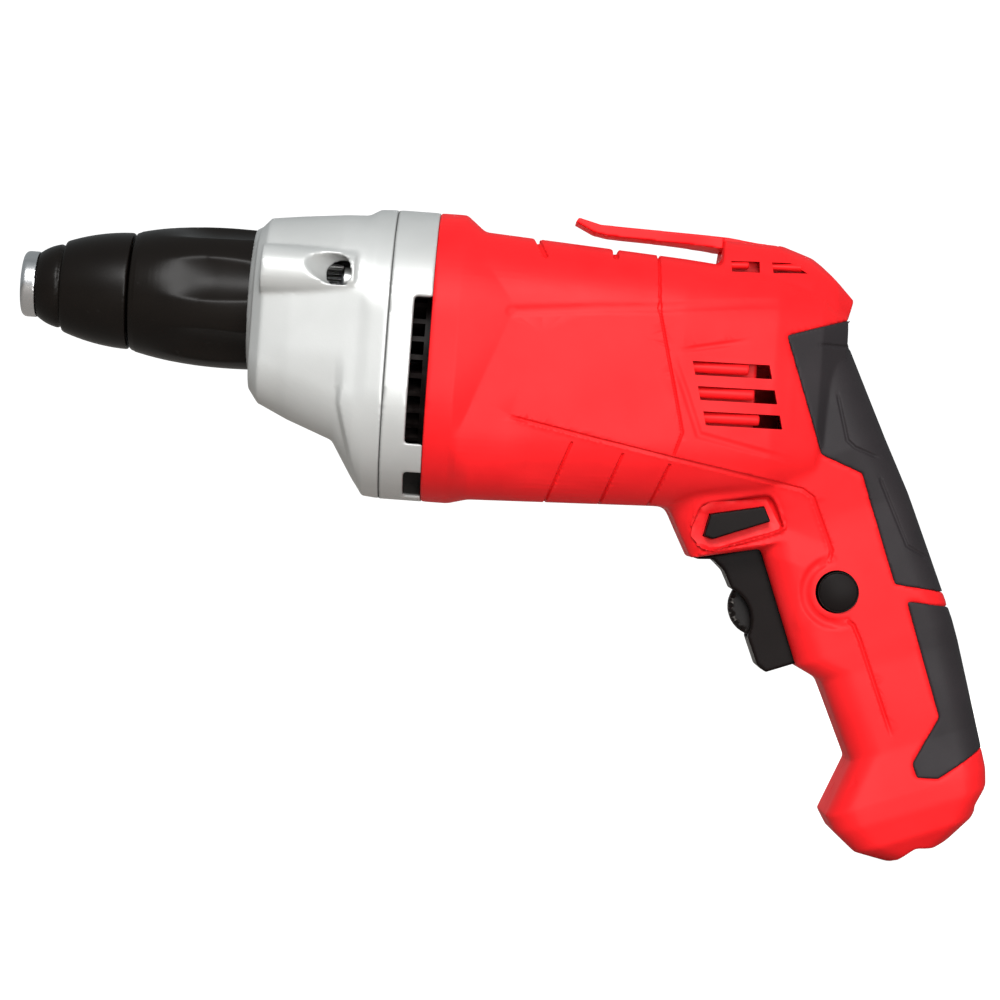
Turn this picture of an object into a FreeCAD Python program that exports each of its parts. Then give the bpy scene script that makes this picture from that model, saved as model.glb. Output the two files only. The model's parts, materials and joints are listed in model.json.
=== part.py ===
import FreeCAD, Part
import math
import os
import re
import Sketcher

os.makedirs("parts", exist_ok=True)
doc = FreeCAD.newDocument("drywall_screwdriver")

# Driving sizes in mm and degrees. X runs rearwards from the nose tip along the spindle axis and Z is up.
# The handle has its own axes: across (rearwards, square to the grip) and down (along the grip).
sizes = {
    # Fits of running, seated and sliding pieces.
    "run_gap": 0.06, "seat_gap": 0.04, "slide_gap": 0.4, "end_gap": 0.3,
    # Steel tip and black nosepiece.
    "tip_r": 10.0, "tip_round": 1.6, "tip_show": 4.5, "tip_length": 9.0, "tip_bore_r": 5.5,
    "tip_spigot_r": 8.2,
    "nose_front_r": 9.6, "nose_collar_x": 12.0, "nose_collar_r": 12.8, "nose_collar_arc": 14.0,
    "nose_groove": 0.6, "nose_groove_width": 1.2, "nose_step": 1.0, "nose_rear_x": 33.0, "nose_rear_r": 17.8,
    "nose_arc": 60.0, "nose_bore_r": 9.4, "nose_tail_r": 12.4, "nose_tail_x": 51.0, "nose_lip": 1.5,
    "oring_x": 46.0, "oring_wire_r": 1.0, "oring_bed": 0.15,
    # Depth ring, threaded sleeve, circlip and click stop.
    "ring_gap": 0.6, "ring_rear_x": 69.6, "ring_rear_r": 21.3, "ring_arc": 110.0, "ring_edge": 0.8,
    "thread_r": 15.5, "sleeve_r": 15.2, "sleeve_bore_r": 12.75, "sleeve_front_x": 35.5, "sleeve_rear_x": 55.0,
    "key_width": 5.0, "key_share": 0.7, "key_rear_x": 64.0, "key_bed_x": 66.0,
    "flute_start_x": 39.0, "flute_r": 18.0,
    "flute_bottom_r": 19.5, "clip_x": 61.5, "clip_width": 1.3, "clip_bed": 1.2, "clip_out": 1.1,
    "ball_r": 1.5, "ball_z": 18.6, "stop_spring_length": 4.2, "stop_spring_wall": 0.4,
    # Bit holder with its magnet and wire ring.
    "bit_flats": 6.35, "holder_front_x": 14.0, "holder_r": 5.8, "holder_rear_x": 41.6, "socket_depth": 13.0,
    "shank_flats": 6.1, "shank_length": 12.4, "magnet_r": 2.5, "magnet_length": 3.0,
    "wire_ring_x": 17.5, "wire_ring_r": 0.6,
    # Spindle, clutch and gear on the spindle axis.
    "spindle_front_x": 42.0, "spindle_r": 7.0, "spindle_socket_depth": 13.0, "spindle_flange_x": 77.2,
    "spindle_flange_r": 11.0, "spindle_flange_width": 2.8, "dog_height": 2.8, "dog_inner_r": 7.8,
    "dog_angle": 44.0, "spindle_journal_r": 4.0, "spindle_rear_x": 101.5,
    "bush_front_x": 59.0, "bush_rear_x": 75.2, "bush_r": 10.5,
    "gear_front_x": 88.0, "gear_width": 9.0, "gear_hub_r": 6.5, "gear_hub_rear_x": 105.6, "gear_bed": 2.0,
    "gear_bush_r": 9.0, "gear_bush_x": 99.0, "spring_bed_r": 6.7, "clutch_spring_r": 5.9,
    "clutch_spring_wall": 0.9,
    "washer_r": 10.0, "washer_width": 1.2,
    # Spur gears between the motor and the spindle.
    "gear_module": 0.6, "pinion_teeth": 8, "gear_teeth": 42, "pressure_angle": 20.0, "tooth_shift": 0.5,
    "tooth_play": 0.16, "pinion_tip_r": 3.1, "gear_tip_r": 12.8, "root_share": 1.3,
    # Cast gearbox casing and bearing flange: heights, half widths and corner roundings of their sections.
    "casing_front_x": 70.0, "casing_front_top": 21.0, "casing_front_bottom": -27.5, "casing_front_half": 29.5,
    "casing_front_round": 19.0, "casing_front_turn": 11.0,
    "casing_edge_x": 73.2, "casing_edge_top": 24.4, "casing_edge_bottom": -31.8, "casing_edge_half": 33.2,
    "casing_edge_round": 22.0, "casing_edge_turn": 13.0,
    "casing_knee_x": 98.0, "casing_knee_top": 26.8, "casing_knee_bottom": -41.2, "casing_knee_half": 36.6,
    "casing_knee_round": 23.0, "casing_knee_turn": 15.0,
    "casing_step_x": 104.4, "casing_step_top": 27.3, "casing_step_bottom": -52.0, "casing_step_half": 37.5,
    "casing_step_round": 26.0, "casing_step_turn": 25.0,
    "casing_rim_x": 107.6, "casing_rim_top": 29.7, "casing_rim_bottom": -57.0, "casing_rim_half": 38.2,
    "casing_rim_round": 32.0, "casing_rim_turn": 32.0,
    "joint_x": 113.0, "flange_rear_x": 125.5, "flange_top": 30.0, "flange_bottom": -57.5, "flange_half": 39.0,
    "flange_round": 33.0, "cast_wall": 4.0, "casing_wall_x": 76.0, "neck_front_x": 57.0, "neck_r": 16.4,
    "ridge_r": 7.5, "ridge_y": 30.8, "ridge_z": 7.8, "ridge_front_x": 72.4, "ridge_rear_x": 102.2,
    "web_rear_x": 117.0, "bush_boss_r": 12.5, "bearing_boss_r": 14.0, "bearing_boss_x": 107.4,
    "window_x": 120.2, "window_top": 2.6, "window_bottom": -40.6, "vent_y": 13.6, "vent_top": -49.0,
    "vent_bottom": -56.6, "sump_top": -47.6,
    # Long screws that hold the casing and the flange to the housing.
    "bolt_r": 2.0, "bolt_head_r": 4.0, "bolt_head_height": 3.0, "bolt_socket": 1.5, "bolt_seat_x": 102.0,
    "bolt_low_seat_x": 110.0, "well_skin": 1.8,
    "bolt_end_x": 138.0, "bolt_y": 30.5, "bolt_z": 6.0, "bolt_low_y": 8.0, "bolt_low_z": -51.0,
    "bolt_well_r": 4.7, "bolt_well_tilt": 46.0, "bolt_well_rise": 28.0, "bolt_well_length": 18.0,
    "bolt_boss_r": 5.0,
    # Motor.
    "motor_z": -15.0, "pinion_front_x": 87.0, "pinion_rear_x": 98.4, "shaft_neck_r": 3.4, "shaft_r": 4.0,
    "shaft_shoulder_x": 107.6, "shaft_tail_r": 3.5, "shaft_tail_x": 204.6, "shaft_end_x": 213.0,
    "bearing_x": 108.0, "bearing_width": 7.0, "bearing_r": 11.0, "bearing_race": 2.0, "bearing_ball_r": 1.4,
    "tail_bearing_x": 206.0, "tail_bearing_width": 6.0, "tail_bearing_r": 9.5, "tail_race": 1.7,
    "tail_ball_r": 1.2,
    "sleeve_wall": 2.0, "sleeve_cap": 1.6, "ball_count": 7,
    "fan_x": 118.4, "fan_width": 7.0, "fan_r": 31.5, "fan_hub_r": 8.0, "fan_disc": 1.6, "fan_blades": 36,
    "blade_inner_r": 15.0, "blade_width": 1.5, "blade_lean": 25.0,
    "core_x": 139.0, "core_length": 39.0, "core_r": 18.6, "slot_count": 12, "slot_width": 4.4,
    "slot_depth": 7.0,
    "winding_bar": 3.6, "winding_r": 16.8, "winding_end": 8.0, "winding_inner_r": 5.0,
    "commutator_x": 190.0, "commutator_length": 13.0, "commutator_r": 12.0, "riser_width": 2.0,
    "riser_height": 1.6,
    "stator_r": 29.5, "stator_bore_r": 19.1, "stator_x": 138.0, "stator_length": 41.0,
    "stator_window_y": 25.4,
    "stator_window_half": 13.0, "coil_r": 25.0, "coil_bore_r": 20.3, "coil_end": 6.5, "coil_split": 1.6,
    "coil_clear": 0.5,
    "holder_x": 192.6, "holder_length": 8.0, "holder_height": 9.0, "holder_inner_y": 13.4,
    "holder_outer_y": 29.0,
    "brush_length": 5.6, "brush_height": 6.6, "brush_outer_y": 22.0, "brush_spring_outer_y": 27.0,
    "brush_spring_r": 2.2, "brush_spring_wall": 0.7,
    # Housing walls and the sections of the barrel.
    "wall": 3.0, "collar_rear_x": 133.6,
    "barrel_front_x": 139.5, "barrel_front_top": 24.7, "barrel_front_bottom": -55.9,
    "barrel_front_half": 36.2,
    "barrel_front_round": 22.0, "barrel_front_turn": 21.0,
    "barrel_mid_x": 200.0, "barrel_mid_top": 20.9, "barrel_mid_bottom": -53.6, "barrel_mid_half": 34.6,
    "barrel_mid_round": 19.0, "barrel_mid_turn": 20.0,
    "barrel_rear_x": 228.0, "barrel_rear_top": 18.6, "barrel_rear_bottom": -50.0, "barrel_rear_half": 30.5,
    "barrel_rear_round": 17.0, "barrel_rear_turn": 17.0,
    "barrel_tail_x": 242.0, "barrel_tail_top": 14.5, "barrel_tail_bottom": -46.0, "barrel_tail_half": 26.0,
    "barrel_tail_round": 14.0, "barrel_tail_turn": 14.0,
    "barrel_end_x": 250.0, "barrel_end_top": 8.5, "barrel_end_bottom": -40.0, "barrel_end_half": 19.0,
    "barrel_end_round": 9.0, "barrel_end_turn": 9.0,
    # Spine that carries the belt hook and rounds off the rear.
    "spine_front_x": 211.0, "spine_front_top": 28.5, "spine_front_half": 24.0, "spine_front_round": 19.0,
    "spine_mid_x": 229.0, "spine_mid_top": 27.9, "spine_mid_half": 23.5, "spine_mid_round": 19.0,
    "spine_fall_x": 238.5, "spine_fall_top": 24.8, "spine_fall_half": 22.0, "spine_fall_round": 18.0,
    "spine_tail_x": 246.0, "spine_tail_top": 19.6, "spine_tail_half": 19.0, "spine_tail_round": 13.0,
    "spine_end_x": 251.6, "spine_end_top": 13.6, "spine_end_half": 12.0, "spine_end_round": 4.0,
    "spine_bottom": 0.0, "spine_end_bottom": 6.8, "spine_turn": 2.5,
    # Handle: its origin, its lean and its sections, each with its place down the grip.
    "handle_x": 250.0, "handle_z": -40.0, "handle_lean": 21.0,
    "root_down": -43.5, "root_front": -47.0, "root_back": 14.2, "root_half": 22.5, "root_round": 12.0,
    "belly_down": -6.0, "belly_front": -51.6, "belly_back": 17.2, "belly_half": 24.0, "belly_round": 12.0,
    "chin_down": 11.6, "chin_front": -49.4, "chin_back": 19.0, "chin_half": 21.4, "chin_round": 9.0,
    "guard_down": 15.0, "guard_front": -28.3, "guard_back": 19.2, "guard_half": 21.2, "guard_round": 9.0,
    "base_down": 52.0, "base_front": -28.3, "base_back": 20.9, "base_half": 20.0, "base_round": 9.0,
    "neck_down": 58.4, "neck_front": -22.4, "neck_back": 20.8, "neck_half": 19.6, "neck_round": 9.5,
    "knee_down": 84.0, "knee_front": -20.8, "knee_back": 18.8, "knee_half": 19.8, "knee_round": 9.5,
    "toe_down": 97.5, "toe_front": -33.0, "toe_back": 17.4, "toe_half": 21.8, "toe_round": 9.0,
    "sole_down": 103.0, "sole_front": -32.0, "sole_back": 15.8, "sole_half": 22.0, "sole_round": 9.0,
    "heel_down": 110.5, "heel_front": -27.8, "heel_back": 9.0, "heel_half": 21.0, "heel_round": 8.0,
    "foot_down": 116.4, "foot_front": -19.0, "foot_back": -2.0, "foot_half": 17.0, "foot_round": 7.0,
    # Stepped heel of the foot, as the outline of what lies outside it.
    "heel_top_x": 301.6, "heel_top_z": -129.8, "heel_step_x": 298.3, "heel_step_z": -136.2,
    "heel_lip_x": 299.0, "heel_lip_z": -139.8, "heel_low_x": 291.2, "heel_low_z": -147.4,
    "heel_bay_x": 286.6, "heel_bay_z": -150.2, "heel_bay_end_x": 281.6, "heel_bay_end_z": -150.4,
    "heel_sole_x": 275.6, "heel_sole_z": -155.4, "heel_out_x": 320.0, "heel_out_z": -175.0,
    # Rubber grips: depth and outlines as (across, down) places.
    "grip_depth": 1.7, "grip_top_front": -3.7, "grip_top_down": -43.8, "grip_top_back_down": -42.6,
    "grip_shoulder_down": -7.0, "grip_waist_down": 1.9, "grip_waist": 6.5, "grip_low_down": 36.6,
    "grip_end_down": 46.0, "grip_back": 26.0, "web_height": 4.6, "lower_inner": 8.5, "lower_top_down": 42.4,
    "lower_bend": 7.7, "lower_bend_down": 78.6, "lower_toe": -4.0, "lower_toe_down": 89.4,
    "lower_tip_down": 93.8,
    "lower_heel": 2.0, "lower_heel_down": 95.9, "lower_back_down": 90.8,
    # Belt hook above the barrel.
    "hook_half": 8.0, "hook_tip_x": 166.4, "hook_tip_low": 30.4, "hook_tip_top_x": 167.2,
    "hook_tip_top": 31.8,
    "hook_bend_x": 174.0, "hook_bend_top": 30.1, "hook_root_top": 29.1, "hook_tongue_x": 228.0,
    "hook_tongue_top": 28.2, "hook_tongue_low": 25.4, "hook_low_x": 205.0, "hook_low": 25.9,
    "hook_curl_x": 176.5, "hook_curl_low": 26.9, "hook_lip_x": 172.0, "hook_lip_low": 27.7,
    "pad_half": 12.0, "pad_bottom": 21.6,
    # Trigger, speed wheel and switch.
    "trigger_half": 9.0, "trigger_beak": -48.4, "trigger_beak_down": 12.9, "trigger_top_down": 15.4,
    "trigger_throat": -43.0, "trigger_throat_down": 14.6, "trigger_brow": -40.6, "trigger_brow_down": 18.8,
    "trigger_front": -40.0, "trigger_front_down": 23.0, "trigger_chin": -39.2, "trigger_chin_down": 48.6,
    "trigger_low": -37.4, "trigger_low_down": 51.4, "trigger_rear": -20.8, "trigger_travel": 6.0,
    "stem_half": 4.0, "stem_down": 27.0, "stem_height": 9.0, "stem_end": -8.0,
    "wheel_across": -33.4, "wheel_down": 32.0, "wheel_r": 9.2, "wheel_half": 3.0, "wheel_notch_r": 0.85,
    "wheel_notches": 18, "pin_r": 1.5, "pin_half": 8.6, "scoop_r": 10.9, "scoop_across": -47.4,
    "switch_front": -14.0, "switch_back": 8.0, "switch_top_down": 10.2, "switch_low_down": 49.0,
    "switch_half": 10.0,
    "trigger_spring_r": 4.2, "trigger_spring_wall": 0.9, "trigger_spring_down": 40.0,
    "trigger_spring_bed": 6.0,
    # Lock button and direction lever.
    "button_across": -10.4, "button_down": 33.9, "button_r": 6.1, "button_face_y": -21.6,
    "button_end_y": -13.6,
    "button_collar_r": 7.2, "button_collar_y": -16.6, "button_collar": 1.4, "dish_r": 10.6, "dish_y": -18.9,
    "lock_spring_r": 3.2, "lock_spring_wall": 0.8, "lock_bed": 0.6,
    "lever_low_x": 211.0, "lever_low_z": -61.5, "lever_top_x": 212.5, "lever_top_z": -54.9,
    "lever_rear_x": 228.5,
    "lever_rear_z": -51.5, "lever_heel_x": 230.6, "lever_heel_z": -55.8, "lever_toe_x": 213.7,
    "lever_toe_z": -62.3,
    "lever_left_y": -22.4, "lever_right_y": 17.8, "pocket_floor_y": 18.4, "pocket_margin": 3.2,
    "guard_floor_y": 15.8, "guard_margin": 4.6,
    # Cooling slots of the housing: front, rear and slant of each row.
    "slot_front_x": 203.2, "slot_length": 23.2, "slot_top": -10.2, "slot_height": 4.0, "slot_pitch": 7.3,
    "slot_shift": 2.1, "slot_slant": 1.1, "slot_deep_y": 26.4, "slot_out_y": 48.0,
    "baffle_y": 23.6, "baffle_width": 2.4, "baffle_x": 201.0, "baffle_length": 22.0,
    "baffle_height": 24.0, "baffle_over": 2.0, "baffle_stagger": 12.0,
    "roof_front_x": 213.4, "roof_rear_x": 222.0, "roof_low": 17.9, "roof_top": 21.3, "roof_step_x": 225.8,
    "roof_end_x": 236.6, "roof_peak_x": 231.3, "roof_deep_y": 12.6,
    # Ribs, screws and the last small pieces inside the housing.
    "rib_width": 3.0, "rib_front_x": 145.0, "rib_back_x": 170.0, "tail_rib_x": 207.2, "tail_rib_low": -45.0,
    "brush_rib_x": 194.6, "brush_rib_width": 4.0, "brush_rib_half": 10.0, "brush_rib_clear_r": 15.0,
    "switch_rib_down": 20.0, "switch_rib_low_down": 44.4, "switch_rib_front": -12.0,
    "screw_r": 1.6, "screw_head_r": 3.2, "screw_head": 2.4, "screw_seat_y": 10.0, "screw_length": 20.0,
    "screw_pilot_end": 2.0, "screw_boss_r": 3.6, "screw_well_r": 3.5, "screw_well_boss_r": 5.0,
    "capacitor_half": 7.0, "capacitor_front": -8.0, "capacitor_back": 5.0, "capacitor_down": 64.0,
    "capacitor_height": 18.0, "capacitor_rib_down": 70.0,
    "inlet_across": -9.0, "inlet_down": 98.0, "inlet_end_down": 113.4, "inlet_r": 6.4, "inlet_bore_r": 3.8,
    "inlet_flange_r": 8.6, "inlet_flange": 2.4, "inlet_flange_down": 104.0,
    # Reach of cutting and splitting solids beyond what they cut.
    "reach": 70.0, "over": 2.0,
}

derived = {
    "ring_front_x": "nose_rear_x + ring_gap",
    "ring_shoulder_x": "neck_front_x - slide_gap",
    "neck_bore_r": "bush_r + seat_gap",
    "gear_rear_x": "gear_front_x + gear_width",
    "spindle_dog_x": "spindle_flange_x + spindle_flange_width",
    "bearing_rear_x": "bearing_x + bearing_width",
    "tail_bearing_rear_x": "tail_bearing_x + tail_bearing_width",
    "core_rear_x": "core_x + core_length",
    "stator_rear_x": "stator_x + stator_length",
}

# Places of the housing screws along the barrel, and in the handle as (across, down).
barrel_screws = {
    "roof_screw_x": 146.0, "roof_screw_z": 20.4,
    "saddle_screw_x": 203.4, "saddle_screw_z": 15.2,
    "rear_screw_x": 241.0, "rear_screw_z": 10.4,
    "floor_screw_x": 148.0, "floor_screw_z": -50.4,
    "chin_screw_x": 201.6, "chin_screw_z": -48.4,
}
handle_screws = {
    "waist_screw_across": -5.0, "waist_screw_down": 57.0,
    "toe_screw_across": -23.0, "toe_screw_down": 103.0,
    "heel_screw_across": 4.6, "heel_screw_down": 102.4,
}
sizes.update(barrel_screws)
sizes.update(handle_screws)

sheet = doc.addObject("Spreadsheet::Sheet", "size")
for row, (alias, value) in enumerate(sizes.items(), start=1):
    sheet.set(f"A{row}", alias)
    sheet.set(f"B{row}", str(value))
    sheet.setAlias(f"B{row}", alias)
doc.recompute()

nodes = {}
axis_y = FreeCAD.Vector(0, 1, 0)
along_y = FreeCAD.Rotation(FreeCAD.Vector(1, 0, 0), -90)
quarter = 90


def link(text):
    def reference(match):
        word = match.group(0)
        if word in derived:
            return "(" + link(derived[word]) + ")"
        return "size." + word if word in sizes else word
    return re.sub(r"[a-z][a-z_0-9]*", reference, str(text))


def number(text):
    value = sheet.evalExpression(link(text))
    return float(getattr(value, "Value", value))


def bind(thing, prop, text):
    thing.setExpression(prop, link(text))


def keep(name, thing):
    thing.Label = name
    nodes[name] = thing
    return thing


def seat(thing, spot, tilt="0"):
    # Tilt turns about Y; a tilt of "side" lays the piece's own Z along Y instead.
    if tilt == "side":
        thing.Placement = FreeCAD.Placement(FreeCAD.Vector(), along_y)
    else:
        thing.Placement = FreeCAD.Placement(FreeCAD.Vector(), FreeCAD.Rotation(axis_y, 1))
        bind(thing, "Placement.Rotation.Angle", tilt)
    for prop, text in zip("xyz", spot):
        bind(thing, "Placement.Base." + prop, text)
    return thing


def handle_spot(across, down, y="0"):
    x = f"handle_x + ({across}) * cos(handle_lean) + ({down}) * sin(handle_lean)"
    z = f"handle_z + ({across}) * sin(handle_lean) - ({down}) * cos(handle_lean)"
    return x, y, z


def rod(name, radius, length, spot, tilt=quarter):
    thing = doc.addObject("Part::Cylinder", name)
    bind(thing, "Radius", radius)
    bind(thing, "Height", length)
    return seat(thing, spot, tilt)


def block(name, length, width, height, spot, tilt="0"):
    thing = doc.addObject("Part::Box", name)
    bind(thing, "Length", length)
    bind(thing, "Width", width)
    bind(thing, "Height", height)
    return seat(thing, spot, tilt)


def handle_block(name, front, back, top, low, half):
    spot = handle_spot(front, low, f"0 - ({half})")
    return block(name, f"{back} - ({front})", f"2 * ({half})", f"{low} - ({top})", spot, "0 - handle_lean")


def fused(name, things):
    thing = doc.addObject("Part::MultiFuse", name)
    thing.Shapes = things
    return thing


def cut(name, base, tools):
    thing = doc.addObject("Part::Cut", name)
    thing.Base = base
    thing.Tool = tools[0] if len(tools) == 1 else fused(name + "_tools", tools)
    return thing


def common(name, things):
    thing = doc.addObject("Part::MultiCommon", name)
    thing.Shapes = things
    return thing


def draw(sketch, corners):
    # Corners go clockwise. A third entry makes the edge to that corner an arc, bulging outwards.
    spots = [FreeCAD.Vector(number(corner[0]), number(corner[1]), 0) for corner in corners]
    first = sketch.GeometryCount
    count = len(corners)
    ends = []
    for index in range(count):
        start, corner = spots[index], corners[(index + 1) % count]
        stop = spots[(index + 1) % count]
        edge = Part.LineSegment(start, stop)
        if len(corner) > 2:
            radius = abs(number(corner[2].lstrip("-")))
            chord = stop - start
            rise = radius - math.sqrt(max(radius ** 2 - chord.Length ** 2 / 4, 0))
            left = FreeCAD.Vector(-chord.y, chord.x, 0).normalize()
            side = -1 if corner[2].startswith("-") else 1
            edge = Part.ArcOfCircle(start, (start + stop) / 2 + left * rise * side, stop)
        sketch.addGeometry(edge)
        near = sketch.getPoint(first + index, 1).distanceToPoint(start)
        far = sketch.getPoint(first + index, 2).distanceToPoint(start)
        ends.append((1, 2) if near < far else (2, 1))
    for index, corner in enumerate(corners):
        here, before = first + index, (index - 1) % count
        sketch.addConstraint(Sketcher.Constraint("Coincident", first + before, ends[before][1], here,
                                                 ends[index][0]))
        for kind, text, value in (("DistanceX", corner[0], spots[index].x), ("DistanceY", corner[1],
                                                                             spots[index].y)):
            rule = sketch.addConstraint(Sketcher.Constraint(kind, -1, 1, here, ends[index][0], value))
            bind(sketch, f"Constraints[{rule}]", text)
        if len(corner) > 2:
            radius = abs(number(corner[2].lstrip("-")))
            rule = sketch.addConstraint(Sketcher.Constraint("Radius", first + before, radius))
            bind(sketch, f"Constraints[{rule}]", corner[2].lstrip("-"))


def new_sketch(body, plane, offset="0"):
    sketch = body.newObject("Sketcher::SketchObject", body.Name + "_sketch")
    support = [feature for feature in body.Origin.OriginFeatures if feature.Role == plane + "_Plane"][0]
    sketch.AttachmentSupport = [(support, "")]
    sketch.MapMode = "FlatFace"
    bind(sketch, "AttachmentOffset.Base.z", offset)
    return sketch


def turned(name, corners, z="0"):
    # A body of revolution about an axis along X, drawn as (x, radius).
    body = doc.addObject("PartDesign::Body", name)
    sketch = new_sketch(body, "XZ")
    draw(sketch, corners)
    turn = body.newObject("PartDesign::Revolution", name + "_turn")
    turn.Profile = sketch
    turn.ReferenceAxis = (sketch, ["H_Axis"])
    turn.Angle = 360
    return seat(body, ("0", "0", z))


def ring(name, inner, outer, front, rear, z="0"):
    return turned(name, [(front, inner), (front, outer), (rear, outer), (rear, inner)], z)


def plate(name, corners, left, right, spot=("0", "0", "0"), tilt="0"):
    # A side outline drawn as (x, z), padded across from y = left to y = right.
    body = doc.addObject("PartDesign::Body", name)
    sketch = new_sketch(body, "XZ", f"0 - ({right})")
    draw(sketch, corners)
    pad = body.newObject("PartDesign::Pad", name + "_pad")
    pad.Profile = sketch
    bind(pad, "Length", f"{right} - ({left})")
    return seat(body, spot, tilt)


def handle_plate(name, corners, left, right):
    turned_corners = [(corner[0], f"0 - ({corner[1]})") + tuple(corner[2:]) for corner in corners]
    return plate(name, turned_corners, left, right, ("handle_x", "0", "handle_z"), "0 - handle_lean")


def rounded(low, high, half, low_round, high_round):
    # Clockwise outline between -half and half, with its lower and upper corners rounded.
    return [
        (f"0 - ({half})", f"{low} + {low_round}", low_round),
        (f"0 - ({half})", f"{high} - ({high_round})"),
        (f"{high_round} - ({half})", high, high_round),
        (f"{half} - ({high_round})", high),
        (half, f"{high} - ({high_round})", high_round),
        (half, f"{low} + {low_round}"),
        (f"{half} - ({low_round})", low, low_round),
        (f"{low_round} - ({half})", low),
    ]


def loft(name, plane, sections, spot=("0", "0", "0"), tilt="0"):
    body = doc.addObject("PartDesign::Body", name)
    sketches = []
    for offset, corners in sections:
        sketch = new_sketch(body, plane, offset)
        draw(sketch, corners)
        sketches.append(sketch)
    skin = body.newObject("PartDesign::AdditiveLoft", name + "_loft")
    skin.Profile = sketches[0]
    skin.Sections = sketches[1:]
    skin.Ruled = True
    return seat(body, spot, tilt)


def section(x, top, bottom, half, high_round, low_round, inset="0"):
    corners = rounded(f"({bottom} + {inset})", f"({top} - {inset})", f"({half} - {inset})",
                      f"({low_round} - {inset})", f"({high_round} - {inset})")
    return x, corners


def named_section(stem, inset="0", x=None):
    return section(x or stem + "_x", stem + "_top", stem + "_bottom", stem + "_half", stem + "_round",
                   stem + "_turn", inset)


def flange_section(x, inset="0"):
    return section(x, "flange_top", "flange_bottom", "flange_half", "flange_round", "flange_round", inset)


def polar(radius, angle, z="0"):
    return f"({radius}) * cos({angle})", f"({z}) + ({radius}) * sin({angle})"


def hexagon(name, flats, length, front):
    thing = doc.addObject("Part::Prism", name)
    thing.Polygon = 6
    bind(thing, "Circumradius", f"({flats}) / sqrt(3)")
    bind(thing, "Height", length)
    return seat(thing, (front, "0", "0"), quarter)


def nose():
    keep("nose_tip", turned("nose_tip", [
        ("0", "tip_bore_r"),
        ("0", "tip_r - tip_round"),
        ("tip_round", "tip_r", "tip_round"),
        ("tip_show", "tip_r"),
        ("tip_show", "tip_spigot_r"),
        ("tip_length", "tip_spigot_r"),
        ("tip_length", "tip_bore_r"),
    ]))
    groove_front = "nose_collar_x - nose_groove_width / 2"
    groove_rear = "nose_collar_x + nose_groove_width / 2"
    bed = "oring_wire_r + oring_bed"
    bed_floor = "nose_tail_r - oring_wire_r * 2 + oring_bed"
    seat_r = "tip_spigot_r + seat_gap"
    keep("nosepiece", turned("nosepiece", [
        ("tip_show", seat_r),
        ("tip_show", "nose_front_r"),
        (groove_front, "nose_collar_r", "nose_collar_arc"),
        (groove_front, "nose_collar_r - nose_groove"),
        (groove_rear, "nose_collar_r - nose_groove"),
        (groove_rear, "nose_collar_r + nose_step"),
        ("nose_rear_x", "nose_rear_r", "nose_arc"),
        ("nose_rear_x", "nose_tail_r"),
        (f"oring_x - ({bed})", "nose_tail_r"),
        (f"oring_x - ({bed})", bed_floor),
        (f"oring_x + {bed}", bed_floor),
        (f"oring_x + {bed}", "nose_tail_r"),
        ("nose_tail_x", "nose_tail_r"),
        ("nose_tail_x", "nose_bore_r"),
        ("tip_length + nose_lip", "nose_bore_r"),
        ("tip_length + nose_lip", seat_r),
    ]))
    oring = doc.addObject("Part::Torus", "nose_oring")
    bind(oring, "Radius1", "nose_tail_r - oring_wire_r + oring_bed + seat_gap")
    bind(oring, "Radius2", "oring_wire_r")
    keep("nose_oring", seat(oring, ("oring_x", "0", "0"), quarter))


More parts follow.
